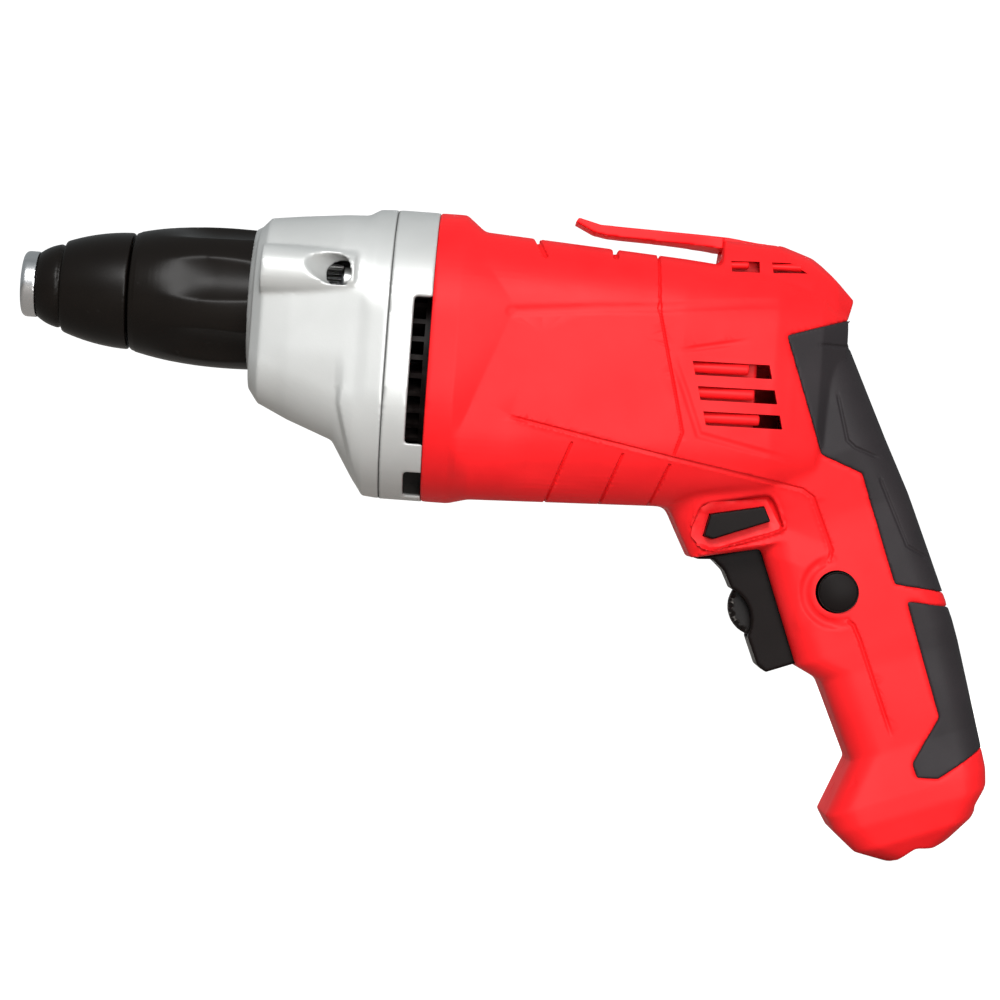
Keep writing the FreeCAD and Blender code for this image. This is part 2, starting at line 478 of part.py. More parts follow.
def depth_stop():
    height = "(sleeve_r - sleeve_bore_r) * key_share"
    keys = []
    for name, low in (("upper_key", "sleeve_bore_r"), ("lower_key", f"0 - sleeve_bore_r - {height}")):
        spot = ("sleeve_rear_x - over", "0 - key_width / 2", low)
        keys.append(block(name, "key_rear_x - sleeve_rear_x + over", "key_width", height, spot))
    tube = ring("sleeve_tube", "sleeve_bore_r", "sleeve_r", "sleeve_front_x", "sleeve_rear_x")
    keep("depth_sleeve", fused("depth_sleeve", [tube] + keys))
    bore = "neck_r + run_gap"
    clip_rear = "clip_x + clip_width + slide_gap"
    clip_front = "clip_x - slide_gap"
    clip_room = "neck_r + clip_out + slide_gap"
    blank = turned("ring_blank", [
        ("ring_front_x", "thread_r"),
        ("ring_front_x", "nose_rear_r"),
        ("ring_rear_x - ring_edge", "ring_rear_r", "ring_arc"),
        ("ring_rear_x", "ring_rear_r - ring_edge", "ring_edge"),
        ("ring_rear_x", bore),
        (clip_rear, bore),
        (clip_rear, clip_room),
        (clip_front, clip_room),
        (clip_front, bore),
        ("ring_shoulder_x", bore),
        ("ring_shoulder_x", "thread_r"),
    ])
    # Flutes start as a point on the ring's front half and widen towards its rear edge.
    start_r = number("nose_rear_r + (ring_rear_r - nose_rear_r) * (flute_start_x - ring_front_x)"
                     " / (ring_rear_x - ring_front_x)")
    run = number("ring_rear_x - flute_start_x")
    slope = math.degrees(math.atan2(number("flute_bottom_r") - start_r, run))
    flutes = []
    for index in range(6):
        flute = doc.addObject("Part::Cylinder", f"flute{index}")
        bind(flute, "Radius", "flute_r")
        bind(flute, "Height", "ring_rear_x - flute_start_x + over * 2")
        lift = FreeCAD.Placement(FreeCAD.Vector(number("flute_start_x"), 0, start_r + number("flute_r")),
                                 FreeCAD.Rotation(axis_y, quarter - slope))
        spin = FreeCAD.Rotation(FreeCAD.Vector(1, 0, 0), index * 60 + 18)
        flute.Placement = FreeCAD.Placement(FreeCAD.Vector(), spin) * lift
        flutes.append(flute)
    keep("depth_ring", cut("depth_ring", blank, flutes))
    keep("ring_circlip", ring("ring_circlip", "neck_r - clip_bed + seat_gap", "neck_r + clip_out",
                              "clip_x + seat_gap",
                              "clip_x + clip_width - seat_gap"))
    ball = doc.addObject("Part::Sphere", "detent_ball")
    bind(ball, "Radius", "ball_r")
    keep("detent_ball", seat(ball, ("ring_rear_x + ball_r + seat_gap", "0", "ball_z")))
    keep("detent_spring", ring("detent_spring", "ball_r - stop_spring_wall", "ball_r",
                               "ring_rear_x + ball_r * 2 + seat_gap",
                               "ring_rear_x + ball_r * 2 + stop_spring_length", "ball_z"))


def bit_drive():
    blank = turned("holder_blank", [
        ("holder_front_x", "0"),
        ("holder_front_x", "holder_r"),
        ("wire_ring_x - wire_ring_r", "holder_r"),
        ("wire_ring_x - wire_ring_r", "holder_r - wire_ring_r"),
        ("wire_ring_x + wire_ring_r", "holder_r - wire_ring_r"),
        ("wire_ring_x + wire_ring_r", "holder_r"),
        ("holder_rear_x", "holder_r"),
        ("holder_rear_x", "0"),
    ])
    socket = hexagon("bit_socket", "bit_flats", "socket_depth + over", "holder_front_x - over")
    magnet_x = "holder_front_x + socket_depth"
    pocket = rod("magnet_pocket", "magnet_r + seat_gap", "magnet_length + seat_gap + over",
                 (f"{magnet_x} - over", "0", "0"))
    shank = hexagon("holder_shank", "shank_flats", "shank_length + over", "holder_rear_x - over")
    keep("bit_holder", cut("bit_holder", fused("holder_solid", [blank, shank]), [socket, pocket]))
    keep("bit_magnet", rod("bit_magnet", "magnet_r", "magnet_length", (magnet_x, "0", "0")))
    wire = doc.addObject("Part::Torus", "bit_wire_ring")
    bind(wire, "Radius1", "holder_r + seat_gap")
    bind(wire, "Radius2", "wire_ring_r - seat_gap")
    keep("bit_wire_ring", seat(wire, ("wire_ring_x", "0", "0"), quarter))


def dogs(name, front, rear, outer, turn):
    # Three clutch dogs about the spindle axis.
    band = ring(name + "_band", "dog_inner_r", outer, front, rear)
    gaps = []
    for index in range(3):
        wedge = doc.addObject("Part::Cylinder", f"{name}_gap{index}")
        bind(wedge, "Radius", f"{outer} + over")
        bind(wedge, "Height", f"{rear} - ({front}) + 2 * over")
        bind(wedge, "Angle", "120 - dog_angle")
        spin = FreeCAD.Rotation(FreeCAD.Vector(1, 0, 0), index * 120 + turn)
        wedge.Placement = FreeCAD.Placement(FreeCAD.Vector(), spin * FreeCAD.Rotation(axis_y, quarter))
        bind(wedge, "Placement.Base.x", f"{front} - over")
        gaps.append(wedge)
    return cut(name, band, gaps)


def tooth_ring(teeth, shift, tip_r, turn):
    # Involute teeth as one closed wire in the YZ plane.
    module, play = number("gear_module"), number("tooth_play")
    pressure = math.radians(number("pressure_angle"))
    pitch_r = module * teeth / 2
    base_r = pitch_r * math.cos(pressure)
    root_r = pitch_r - module * (number("root_share") - shift)
    half_pitch = math.pi / 2 / teeth + 2 * shift * math.tan(pressure) / teeth - play / 2 / pitch_r

    def involute(angle):
        return math.tan(angle) - angle

    def half_angle(radius):
        return half_pitch + involute(pressure) - involute(math.acos(min(base_r / radius, 1)))

    def spot(radius, angle):
        return FreeCAD.Vector(0, radius * math.cos(angle), radius * math.sin(angle))

    low_r = max(root_r, base_r)
    radii = [low_r + (tip_r - low_r) * share for share in (0, 0.25, 0.5, 0.75, 1)]
    edges = []
    step = 2 * math.pi / teeth
    for index in range(teeth):
        middle = index * step + turn
        rise = [spot(radius, middle - half_angle(radius)) for radius in radii]
        fall = [spot(radius, middle + half_angle(radius)) for radius in reversed(radii)]
        root_in = spot(root_r, middle - half_angle(low_r))
        root_out = spot(root_r, middle + half_angle(low_r))
        if root_r < base_r:
            edges.append(Part.makeLine(root_in, rise[0]))
        flank = Part.BSplineCurve()
        flank.interpolate(rise)
        edges.append(flank.toShape())
        edges.append(Part.Arc(rise[-1], spot(tip_r, middle), fall[0]).toShape())
        flank = Part.BSplineCurve()
        flank.interpolate(fall)
        edges.append(flank.toShape())
        if root_r < base_r:
            edges.append(Part.makeLine(fall[-1], root_out))
        next_in = spot(root_r, middle + step - half_angle(low_r))
        edges.append(Part.Arc(root_out, spot(root_r, middle + step / 2), next_in).toShape())
    return Part.Face(Part.Wire(edges))


def toothed(name, teeth, shift, tip_r, turn, front, length, z):
    face = tooth_ring(int(number(teeth)), number(shift), number(tip_r), turn)
    thing = doc.addObject("Part::Feature", name)
    thing.Shape = face.extrude(FreeCAD.Vector(number(length), 0, 0))
    return seat(thing, (front, "0", z))


def clutch():
    dog_rear = "spindle_dog_x + dog_height"
    stem = turned("spindle_stem", [
        ("spindle_front_x", "0"),
        ("spindle_front_x", "spindle_r"),
        ("spindle_flange_x", "spindle_r"),
        ("spindle_flange_x", "spindle_flange_r"),
        ("spindle_dog_x", "spindle_flange_r"),
        ("spindle_dog_x", "spindle_journal_r"),
        ("spindle_rear_x", "spindle_journal_r"),
        ("spindle_rear_x", "0"),
    ])
    spindle_dogs = dogs("spindle_dogs", "spindle_dog_x - seat_gap", dog_rear, "spindle_flange_r", 0)
    solid = fused("spindle_solid", [stem, spindle_dogs])
    socket = hexagon("spindle_socket", "bit_flats", "spindle_socket_depth + over", "spindle_front_x - over")
    keep("spindle", cut("spindle", solid, [socket]))
    keep("spindle_bush", ring("spindle_bush", "spindle_r + run_gap", "bush_r", "bush_front_x", "bush_rear_x"))
    wheel = toothed("gear_teeth_solid", "gear_teeth", "0 - tooth_shift", "gear_tip_r",
                    math.pi / 2 - math.pi / 42,
                    "gear_front_x", "gear_width", "0")
    hub = ring("gear_hub", "0", "gear_hub_r", "gear_front_x + over", "gear_hub_rear_x")
    gear_dogs = dogs("gear_dogs", "gear_front_x - dog_height", "gear_front_x + seat_gap",
                     "spindle_flange_r", 60)
    bore = rod("gear_bore", "spindle_journal_r + run_gap", "gear_hub_rear_x - gear_front_x + 2 * over",
               ("gear_front_x - over", "0", "0"))
    bed = rod("gear_spring_bed", "spring_bed_r", "gear_bed + over", ("gear_front_x - over", "0", "0"))
    keep("clutch_gear", cut("clutch_gear", fused("gear_solid", [wheel, hub, gear_dogs]), [bore, bed]))
    keep("clutch_spring", ring("clutch_spring", "clutch_spring_r - clutch_spring_wall", "clutch_spring_r",
                               "spindle_dog_x + seat_gap", "gear_front_x + gear_bed - seat_gap"))
    keep("gear_bush", ring("gear_bush", "gear_hub_r + run_gap", "gear_bush_r", "gear_bush_x",
                           "gear_hub_rear_x"))
    keep("thrust_washer", ring("thrust_washer", "gear_hub_r + slide_gap", "washer_r",
                               "gear_bush_x - washer_width - seat_gap",
                               "gear_bush_x - seat_gap"))


def bolts(name, radius, front, rear, low_front, low_rear=None):
    # Rods at the four places of the long screws: two beside the spindle and two low ones.
    things = []
    for place, start, stop in (("bolt", front, rear), ("bolt_low", low_front, low_rear or rear)):
        for side in ("", "0 - "):
            spot = (start, f"{side}{place}_y", f"{place}_z")
            things.append(rod(f"{name}{len(things)}", radius, f"{stop} - ({start})", spot))
    return things


def gearbox():
    stems = ("casing_front", "casing_edge", "casing_knee", "casing_step", "casing_rim")
    outer = loft("casing_outer", "YZ", [named_section(stem) for stem in stems] + [flange_section("joint_x")])
    inner_stems = ("casing_knee", "casing_step", "casing_rim")
    hollow = [named_section("casing_edge", "cast_wall", "casing_wall_x")]
    hollow += [named_section(stem, "cast_wall") for stem in inner_stems]
    hollow += [flange_section("joint_x + over", "cast_wall")]
    inner = loft("casing_inner", "YZ", hollow)
    neck = rod("casing_neck", "neck_r", "casing_wall_x - neck_front_x", ("neck_front_x", "0", "0"))
    ridges, wells = [], []
    for index, side in enumerate(("", "0 - ")):
        ridges.append(rod(f"ridge{index}", "ridge_r", "ridge_rear_x - ridge_front_x",
                          ("ridge_front_x", side + "ridge_y", "ridge_z")))
        well = doc.addObject("Part::Cylinder", f"bolt_well{index}")
        bind(well, "Radius", "bolt_well_r")
        bind(well, "Height", "bolt_well_length")
        tilt = math.radians(number("bolt_well_tilt"))
        rise = math.radians(number("bolt_well_rise"))
        outward = math.sin(tilt) * math.cos(rise) * (1 if index == 0 else -1)
        way = FreeCAD.Vector(-math.cos(tilt), outward, math.sin(tilt) * math.sin(rise))
        well.Placement = FreeCAD.Placement(FreeCAD.Vector(), FreeCAD.Rotation(FreeCAD.Vector(0, 0, 1), way))
        for prop, text in zip("xyz", ("bolt_seat_x", side + "bolt_y", "bolt_z")):
            bind(well, "Placement.Base." + prop, text)
        wells.append(well)
    bosses = bolts("casing_boss", "bolt_boss_r", "bolt_seat_x - over", "joint_x", "bolt_low_seat_x")
    for index, side in enumerate(("", "0 - ")):
        bosses.append(rod(f"well_boss{index}", "bolt_well_r + well_skin", "joint_x - casing_knee_x",
                          ("casing_knee_x", side + "bolt_low_y", "bolt_low_z")))
    hollow_net = cut("casing_hollow", inner, bosses)
    body = cut("casing_shell", fused("casing_solid", [outer, neck] + ridges), [hollow_net])
    bore = rod("neck_bore", "neck_bore_r", "casing_wall_x - neck_front_x + 2 * over",
               ("neck_front_x - over", "0", "0"))
    bed = ring("clip_groove", "neck_r - clip_bed", "neck_r + over", "clip_x", "clip_x + clip_width")
    slots = []
    for name, low in (("upper_slot", "sleeve_bore_r - slide_gap"), ("lower_slot",
                                                                    "0 - sleeve_r - slide_gap")):
        spot = ("neck_front_x - over", "0 - key_width / 2 - slide_gap", low)
        slots.append(block(name, "key_bed_x - neck_front_x + over", "key_width + 2 * slide_gap",
                           "sleeve_r - sleeve_bore_r + 2 * slide_gap", spot))
    ball_bed = rod("ball_bed", "ball_r + seat_gap", "ball_r * 2 + stop_spring_length + seat_gap",
                   ("ring_rear_x", "0", "ball_z"))
    holes = bolts("casing_hole", "bolt_r + slide_gap", "bolt_seat_x - over", "joint_x + over",
                  "bolt_low_seat_x - over")
    faces = []
    for index, side in enumerate(("", "0 - ")):
        faces.append(rod(f"spot_face{index}", "bolt_well_r", "bolt_low_seat_x - casing_front_x",
                         ("casing_front_x", side + "bolt_low_y", "bolt_low_z")))
        faces.append(rod(f"high_face{index}", "bolt_head_r + slide_gap", "bolt_head_height + over",
                         ("bolt_seat_x - bolt_head_height - over", side + "bolt_y", "bolt_z")))
    keep("gearbox_casing", cut("gearbox_casing", body, [bore, bed, ball_bed] + slots + wells + holes + faces))


def flange():
    outer = loft("flange_outer", "YZ", [flange_section("joint_x"), flange_section("flange_rear_x")])
    chamber = loft("fan_chamber", "YZ", [flange_section("web_rear_x", "cast_wall"),
                                         flange_section("flange_rear_x + over", "cast_wall")])
    boss = rod("bush_boss", "bush_boss_r", "joint_x - gear_bush_x + over", ("gear_bush_x", "0", "0"))
    seat_boss = rod("bearing_boss", "bearing_boss_r", "joint_x - bearing_boss_x + over", ("bearing_boss_x",
                                                                                          "0", "motor_z"))
    posts = bolts("flange_post", "bolt_boss_r", "joint_x", "flange_rear_x", "joint_x")
    posts.append(block("sump_wall", "flange_rear_x - web_rear_x + 2 * over", "2 * (bolt_low_y + bolt_boss_r)",
                       "reach", ("web_rear_x - over", "0 - bolt_low_y - bolt_boss_r", "sump_top - reach")))
    shell = cut("flange_shell", outer, [cut("fan_room", chamber, posts)])
    solid = fused("flange_solid", [shell, boss, seat_boss])
    bores = [
        rod("bush_bore", "gear_bush_r + seat_gap", "gear_hub_rear_x - gear_bush_x + end_gap + over",
            ("gear_bush_x - over", "0", "0")),
        rod("bearing_bore", "bearing_r + seat_gap", "bearing_width + over", ("bearing_x", "0", "motor_z")),
        rod("bearing_mouth", "bearing_r + seat_gap", "web_rear_x - bearing_rear_x + over",
            ("bearing_rear_x", "0", "motor_z")),
        rod("shaft_hole", "shaft_neck_r + 2 * end_gap", "web_rear_x - gear_bush_x + 2 * over",
            ("gear_bush_x - over", "0", "motor_z")),
    ]
    windows = [block("fan_window", "flange_rear_x - window_x + over", "2 * reach",
                     "window_top - window_bottom",
                     ("window_x", "0 - reach", "window_bottom"))]
    for index, start in enumerate(("vent_y", "0 - reach - vent_y")):
        windows.append(block(f"low_window{index}", "flange_rear_x - window_x + over", "reach",
                             "vent_top - vent_bottom",
                             ("window_x", start, "vent_bottom")))
    holes = bolts("flange_hole", "bolt_r + slide_gap", "joint_x - over", "flange_rear_x + over",
                  "joint_x - over")
    keep("bearing_flange", cut("bearing_flange", solid, bores + windows + holes))
    heads = bolts("bolt_head", "bolt_head_r", "bolt_seat_x - bolt_head_height", "bolt_seat_x",
                  "bolt_low_seat_x - bolt_head_height", "bolt_low_seat_x")
    sockets = []
    for place in ("bolt", "bolt_low"):
        front = f"{place}_seat_x - bolt_head_height - bolt_socket"
        for side in ("", "0 - "):
            socket = hexagon(f"bolt_socket{len(sockets)}", "bolt_head_r", "2 * bolt_socket", front)
            sockets.append(seat(socket, (front, f"{side}{place}_y", f"{place}_z"), quarter))
    shanks = bolts("bolt_shank", "bolt_r", "bolt_seat_x - seat_gap", "bolt_end_x",
                   "bolt_low_seat_x - seat_gap")
    keep("gearbox_screws", cut("gearbox_screws", fused("bolt_solids", heads + shanks), sockets))


def bearing(stem, name, front, width, outer_r, race, ball_r, bore_r):
    rear = f"{front} + {width}"
    keep(f"{name}_outer", ring(f"{name}_outer", f"{outer_r} - {race}", outer_r, front, rear, "motor_z"))
    keep(f"{name}_inner", ring(f"{name}_inner", f"{bore_r}", f"{bore_r} + {race}", front, rear, "motor_z"))
    pitch = f"({bore_r} + {outer_r}) / 2"
    balls = []
    count = int(number("ball_count"))
    for index in range(count):
        ball = doc.addObject("Part::Sphere", f"{stem}_ball{index}")
        bind(ball, "Radius", ball_r)
        y, z = polar(pitch, 360 / count * index, "motor_z")
        balls.append(seat(ball, (f"{front} + {width} / 2", y, z)))
    keep(f"{name}_balls", fused(f"{name}_balls", balls))


def around(name, count, length, width, depth, outer_r, front, turn=0):
    # Bars along X set evenly around the motor axis, each reaching inwards from outer_r.
    bars = []
    for index in range(count):
        angle = 360 / count * index + turn
        bar = doc.addObject("Part::Box", f"{name}{index}")
        bind(bar, "Length", length)
        bind(bar, "Width", width)
        bind(bar, "Height", depth)
        bar.Placement = FreeCAD.Placement(FreeCAD.Vector(), FreeCAD.Rotation(FreeCAD.Vector(1, 0, 0), angle))
        inner = f"({outer_r} - ({depth}))"
        bind(bar, "Placement.Base.x", front)
        bind(bar, "Placement.Base.y", f"0 - {inner} * sin({angle}) - ({width}) / 2 * cos({angle})")
        bind(bar, "Placement.Base.z", f"motor_z + {inner} * cos({angle}) - ({width}) / 2 * sin({angle})")
        bars.append(bar)
    return bars


def armature():
    teeth = toothed("pinion_solid", "pinion_teeth", "tooth_shift", "pinion_tip_r", math.pi / 2,
                    "pinion_front_x",
                    "pinion_rear_x - pinion_front_x + seat_gap", "motor_z")
    shaft = turned("shaft_solid", [
        ("pinion_rear_x", "0"),
        ("pinion_rear_x", "shaft_neck_r"),
        ("shaft_shoulder_x", "shaft_neck_r"),
        ("shaft_shoulder_x", "shaft_r"),
        ("shaft_tail_x", "shaft_r"),
        ("shaft_tail_x", "shaft_tail_r"),
        ("shaft_end_x", "shaft_tail_r"),
        ("shaft_end_x", "0"),
    ], "motor_z")
    keep("armature_shaft", fused("armature_shaft", [shaft, teeth]))
    bore = "shaft_r + seat_gap"
    disc = turned("fan_disc_solid", [
        ("fan_x", bore),
        ("fan_x", "fan_hub_r"),
        ("fan_x + fan_width - fan_disc", "fan_hub_r"),
        ("fan_x + fan_width - fan_disc", "fan_r"),
        ("fan_x + fan_width", "fan_r"),
        ("fan_x + fan_width", bore),
    ], "motor_z")
    blades = around("fan_blade", int(number("fan_blades")), "fan_width - seat_gap", "blade_width",
                    "fan_r - blade_inner_r",
                    "fan_r - seat_gap", "fan_x")
    keep("fan", fused("fan", [disc] + blades))
    core = ring("core_solid", bore, "core_r", "core_x", "core_rear_x", "motor_z")
    count = int(number("slot_count"))
    slots = around("core_slot", count, "core_length + 2 * over", "slot_width", "slot_depth",
                   "core_r - over / 2", "core_x - over")
    mouths = around("core_mouth", count, "core_length + 2 * over", "slot_width / 3", "over * 2",
                    "core_r + over", "core_x - over")
    keep("armature_core", cut("armature_core", core, slots + mouths))
    ends = []
    for name, front, rear in (("winding_front", "core_x - winding_end - seat_gap", "core_x - seat_gap"),
                              ("winding_rear", "core_rear_x + seat_gap",
                               "core_rear_x + winding_end + seat_gap")):
        ends.append(ring(name, "winding_inner_r", "winding_r", front, rear, "motor_z"))
    bars = around("winding_bar_solid", count, "core_length + 2 * over", "winding_bar",
                  "slot_depth - 2 * end_gap",
                  "core_r - over / 2 - end_gap", "core_x - over")
    keep("armature_winding", fused("armature_winding", ends + bars))
    keep("commutator", turned("commutator", [
        ("commutator_x - riser_width", bore),
        ("commutator_x - riser_width", "commutator_r + riser_height"),
        ("commutator_x", "commutator_r + riser_height"),
        ("commutator_x", "commutator_r"),
        ("commutator_x + commutator_length", "commutator_r"),
        ("commutator_x + commutator_length", bore),
    ], "motor_z"))
    bearing("front", "front_bearing", "bearing_x", "bearing_width", "bearing_r", "bearing_race",
            "bearing_ball_r", bore)
    bearing("tail", "rear_bearing", "tail_bearing_x", "tail_bearing_width", "tail_bearing_r", "tail_race",
            "tail_ball_r",
            "shaft_tail_r + seat_gap")
    keep("bearing_sleeve", turned("bearing_sleeve", [
        ("tail_bearing_x", "tail_bearing_r + seat_gap"),
        ("tail_bearing_x", "tail_bearing_r + sleeve_wall"),
        ("tail_bearing_rear_x + end_gap + sleeve_cap", "tail_bearing_r + sleeve_wall"),
        ("tail_bearing_rear_x + end_gap + sleeve_cap", "shaft_r + 2 * end_gap"),
        ("tail_bearing_rear_x + end_gap", "shaft_r + 2 * end_gap"),
        ("tail_bearing_rear_x + end_gap", "tail_bearing_r + seat_gap"),
    ], "motor_z"))


def stator():
    ring_solid = ring("stator_ring", "stator_bore_r", "stator_r", "stator_x", "stator_rear_x", "motor_z")
    window = block("stator_window", "stator_length + 2 * over", "2 * stator_window_y",
                   "2 * stator_window_half",
                   ("stator_x - over", "0 - stator_window_y", "motor_z - stator_window_half"))
    keep("stator_core", cut("stator_core", ring_solid, [window]))
    wound = ring("coil_ring", "coil_bore_r", "coil_r", "stator_x - coil_end", "stator_rear_x + coil_end",
                 "motor_z")
    poles = []
    for name, low in (("pole_top", "motor_z + stator_window_half - coil_clear"),
                      ("pole_low", "motor_z - stator_window_half + coil_clear - reach")):
        poles.append(block(name, "stator_length + 2 * seat_gap", "2 * reach", "reach",
                           ("stator_x - seat_gap", "0 - reach", low)))
    split = block("coil_gap", "stator_length + 2 * coil_end + 2 * over", "2 * reach", "coil_split",
                  ("stator_x - coil_end - over", "0 - reach", "motor_z - coil_split / 2"))
    keep("field_coils", cut("field_coils", wound, poles + [split]))


def brush_box(name, length, height, inner, outer, gap="0"):
    things = []
    middle = "holder_x + holder_length / 2"
    for index, low in enumerate((inner, f"0 - ({outer})")):
        spot = (f"{middle} - ({length}) / 2 - {gap}", low, f"motor_z - ({height}) / 2 - {gap}")
        things.append(block(f"{name}{index}", f"{length} + 2 * {gap}", f"{outer} - ({inner})",
                            f"{height} + 2 * {gap}", spot))
    return things


def brushes():
    boxes = brush_box("brush_tube", "holder_length", "holder_height", "holder_inner_y", "holder_outer_y")
    rooms = brush_box("brush_room", "brush_length", "brush_height", "holder_inner_y - over",
                      "brush_spring_outer_y", "seat_gap")
    keep("brush_holders", cut("brush_holders", fused("brush_tubes", boxes), rooms))
    keep("carbon_brushes", fused("carbon_brushes", brush_box("brush", "brush_length", "brush_height",
                                                             "commutator_r + end_gap", "brush_outer_y")))
    coils, holes = [], []
    length = "brush_spring_outer_y - brush_outer_y - 2 * seat_gap"
    for index, low in enumerate(("brush_outer_y + seat_gap", "seat_gap - brush_spring_outer_y")):
        spot = ("holder_x + holder_length / 2", low, "motor_z")
        coils.append(rod(f"brush_coil{index}", "brush_spring_r", length, spot, "side"))
        holes.append(rod(f"brush_coil_hole{index}", "brush_spring_r - brush_spring_wall", length, spot,
                         "side"))
    keep("brush_springs", cut("brush_springs", fused("brush_coils", coils), [fused("brush_coil_holes",
                                                                                   holes)]))


def shell(name, inset):
    # Barrel, spine and handle as one solid, drawn in from the outside by inset.
    front = "flange_rear_x" if inset == "0" else "flange_rear_x - over"
    barrel = [flange_section(front, inset), flange_section("collar_rear_x", inset)]
    barrel += [named_section(stem, inset) for stem in ("barrel_front", "barrel_mid", "barrel_rear",
                                                       "barrel_tail")]
    barrel += [named_section("barrel_end", inset, f"barrel_end_x - {inset}")]
    spine = []
    for stem in ("spine_front", "spine_mid", "spine_fall", "spine_tail", "spine_end"):
        low = "spine_end_bottom" if stem == "spine_end" else "spine_bottom"
        shift = {"spine_front": f" + {inset}", "spine_end": f" - {inset}"}.get(stem, "")
        turn = "spine_turn" if inset == "0" else "spine_turn / 2"
        corners = rounded(f"({low} + {inset} / 2)", f"({stem}_top - {inset})", f"({stem}_half - {inset})",
                          turn,
                          f"({stem}_round - {inset})")
        spine.append((f"{stem}_x{shift}", corners))
    grip = []
    moves = {"chin": "-", "guard": "-", "foot": "-", "root": "+"}
    for stem in ("foot", "heel", "sole", "toe", "knee", "neck", "base", "guard", "chin", "belly", "root"):
        down = f"{stem}_down {moves[stem]} {inset}" if stem in moves else f"{stem}_down"
        front_edge = f"({stem}_front + {inset})"
        back_edge = f"({stem}_back - {inset})"
        turn = f"({stem}_round - {inset})"
        half = f"({stem}_half - {inset})"
        corners = [
            (front_edge, f"{turn} - {half}", turn),
            (front_edge, f"{half} - {turn}"),
            (f"{front_edge} + {turn}", half, turn),
            (f"{back_edge} - {turn}", half),
            (back_edge, f"{half} - {turn}", turn),
            (back_edge, f"{turn} - {half}"),
            (f"{back_edge} - {turn}", f"0 - {half}", turn),
            (f"{front_edge} + {turn}", f"0 - {half}"),
        ]
        grip.append((f"0 - ({down})", corners))
    parts = [
        loft(name + "_barrel", "YZ", barrel),
        loft(name + "_spine", "YZ", spine),
        loft(name + "_handle", "XY", grip, ("handle_x", "0", "handle_z"), "0 - handle_lean"),
    ]
    return fused(name, parts)


def screw_spots():
    spots = []
    for key in barrel_screws:
        if key.endswith("_x"):
            spots.append((key, key[:-1] + "z"))
    for key in handle_screws:
        if key.endswith("_across"):
            x, y, z = handle_spot(key, key.replace("_across", "_down"))
            spots.append((x, z))
    return spots


def screw_rods(name, radius, low, high):
    return [rod(f"{name}{index}", radius, f"{high} - ({low})", (x, low, z), "side")
            for index, (x, z) in enumerate(screw_spots())]


grip_outlines = {
    "upper_grip": [
        ("grip_top_front", "grip_top_down"),
        ("grip_back", "grip_top_back_down"),
        ("grip_back", "grip_end_down"),
        ("grip_waist", "grip_low_down"),
        ("grip_waist", "grip_waist_down"),
        ("grip_top_front", "grip_shoulder_down"),
    ],
    "lower_grip": [
        ("lower_inner", "lower_top_down"),
        ("grip_back", "grip_end_down + web_height"),
        ("grip_back", "lower_back_down - over"),
        ("lower_heel", "lower_heel_down"),
        ("lower_toe", "lower_tip_down"),
        ("lower_toe", "lower_toe_down"),
        ("lower_bend", "lower_bend_down"),
    ],
}

heel_outline = [
    ("heel_top_x", "heel_top_z"),
    ("heel_step_x", "heel_step_z"),
    ("heel_lip_x", "heel_lip_z"),
    ("heel_low_x", "heel_low_z"),
    ("heel_bay_x", "heel_bay_z"),
    ("heel_bay_end_x", "heel_bay_end_z"),
    ("heel_sole_x", "heel_sole_z"),
    ("heel_sole_x", "heel_out_z"),
    ("heel_out_x", "heel_out_z"),
    ("heel_out_x", "heel_top_z"),
]

hook_outline = [
    ("hook_tip_x", "hook_tip_low"),
    ("hook_tip_top_x", "hook_tip_top"),
    ("hook_bend_x", "hook_bend_top"),
    ("spine_front_x", "hook_root_top"),
    ("hook_tongue_x", "hook_tongue_top"),
    ("hook_tongue_x", "hook_tongue_low"),
    ("spine_front_x", "hook_tongue_low"),
    ("hook_low_x", "hook_low"),
    ("hook_curl_x", "hook_curl_low"),
    ("hook_lip_x", "hook_lip_low"),
]

lever_outline = [
    ("lever_low_x", "lever_low_z"),
    ("lever_top_x", "lever_top_z"),
    ("lever_rear_x", "lever_rear_z"),
    ("lever_heel_x", "lever_heel_z"),
    ("lever_toe_x", "lever_toe_z"),
]


def widened(outline, margin):
    # The same clockwise outline with every edge moved outwards by the margin.
    spots = [FreeCAD.Vector(number(x), number(z), 0) for x, z in outline]
    outward = []
    for here, there in zip(spots, spots[1:] + spots[:1]):
        run = there - here
        outward.append(FreeCAD.Vector(-run.y, run.x, 0).normalize())
    corners = []
    for index, (x, z) in enumerate(outline):
        before, after = outward[index - 1], outward[index]
        share = (before + after) / (1 + before.dot(after))
        corners.append((f"{x} + ({share.x}) * {margin}", f"{z} + ({share.y}) * {margin}"))
    return corners


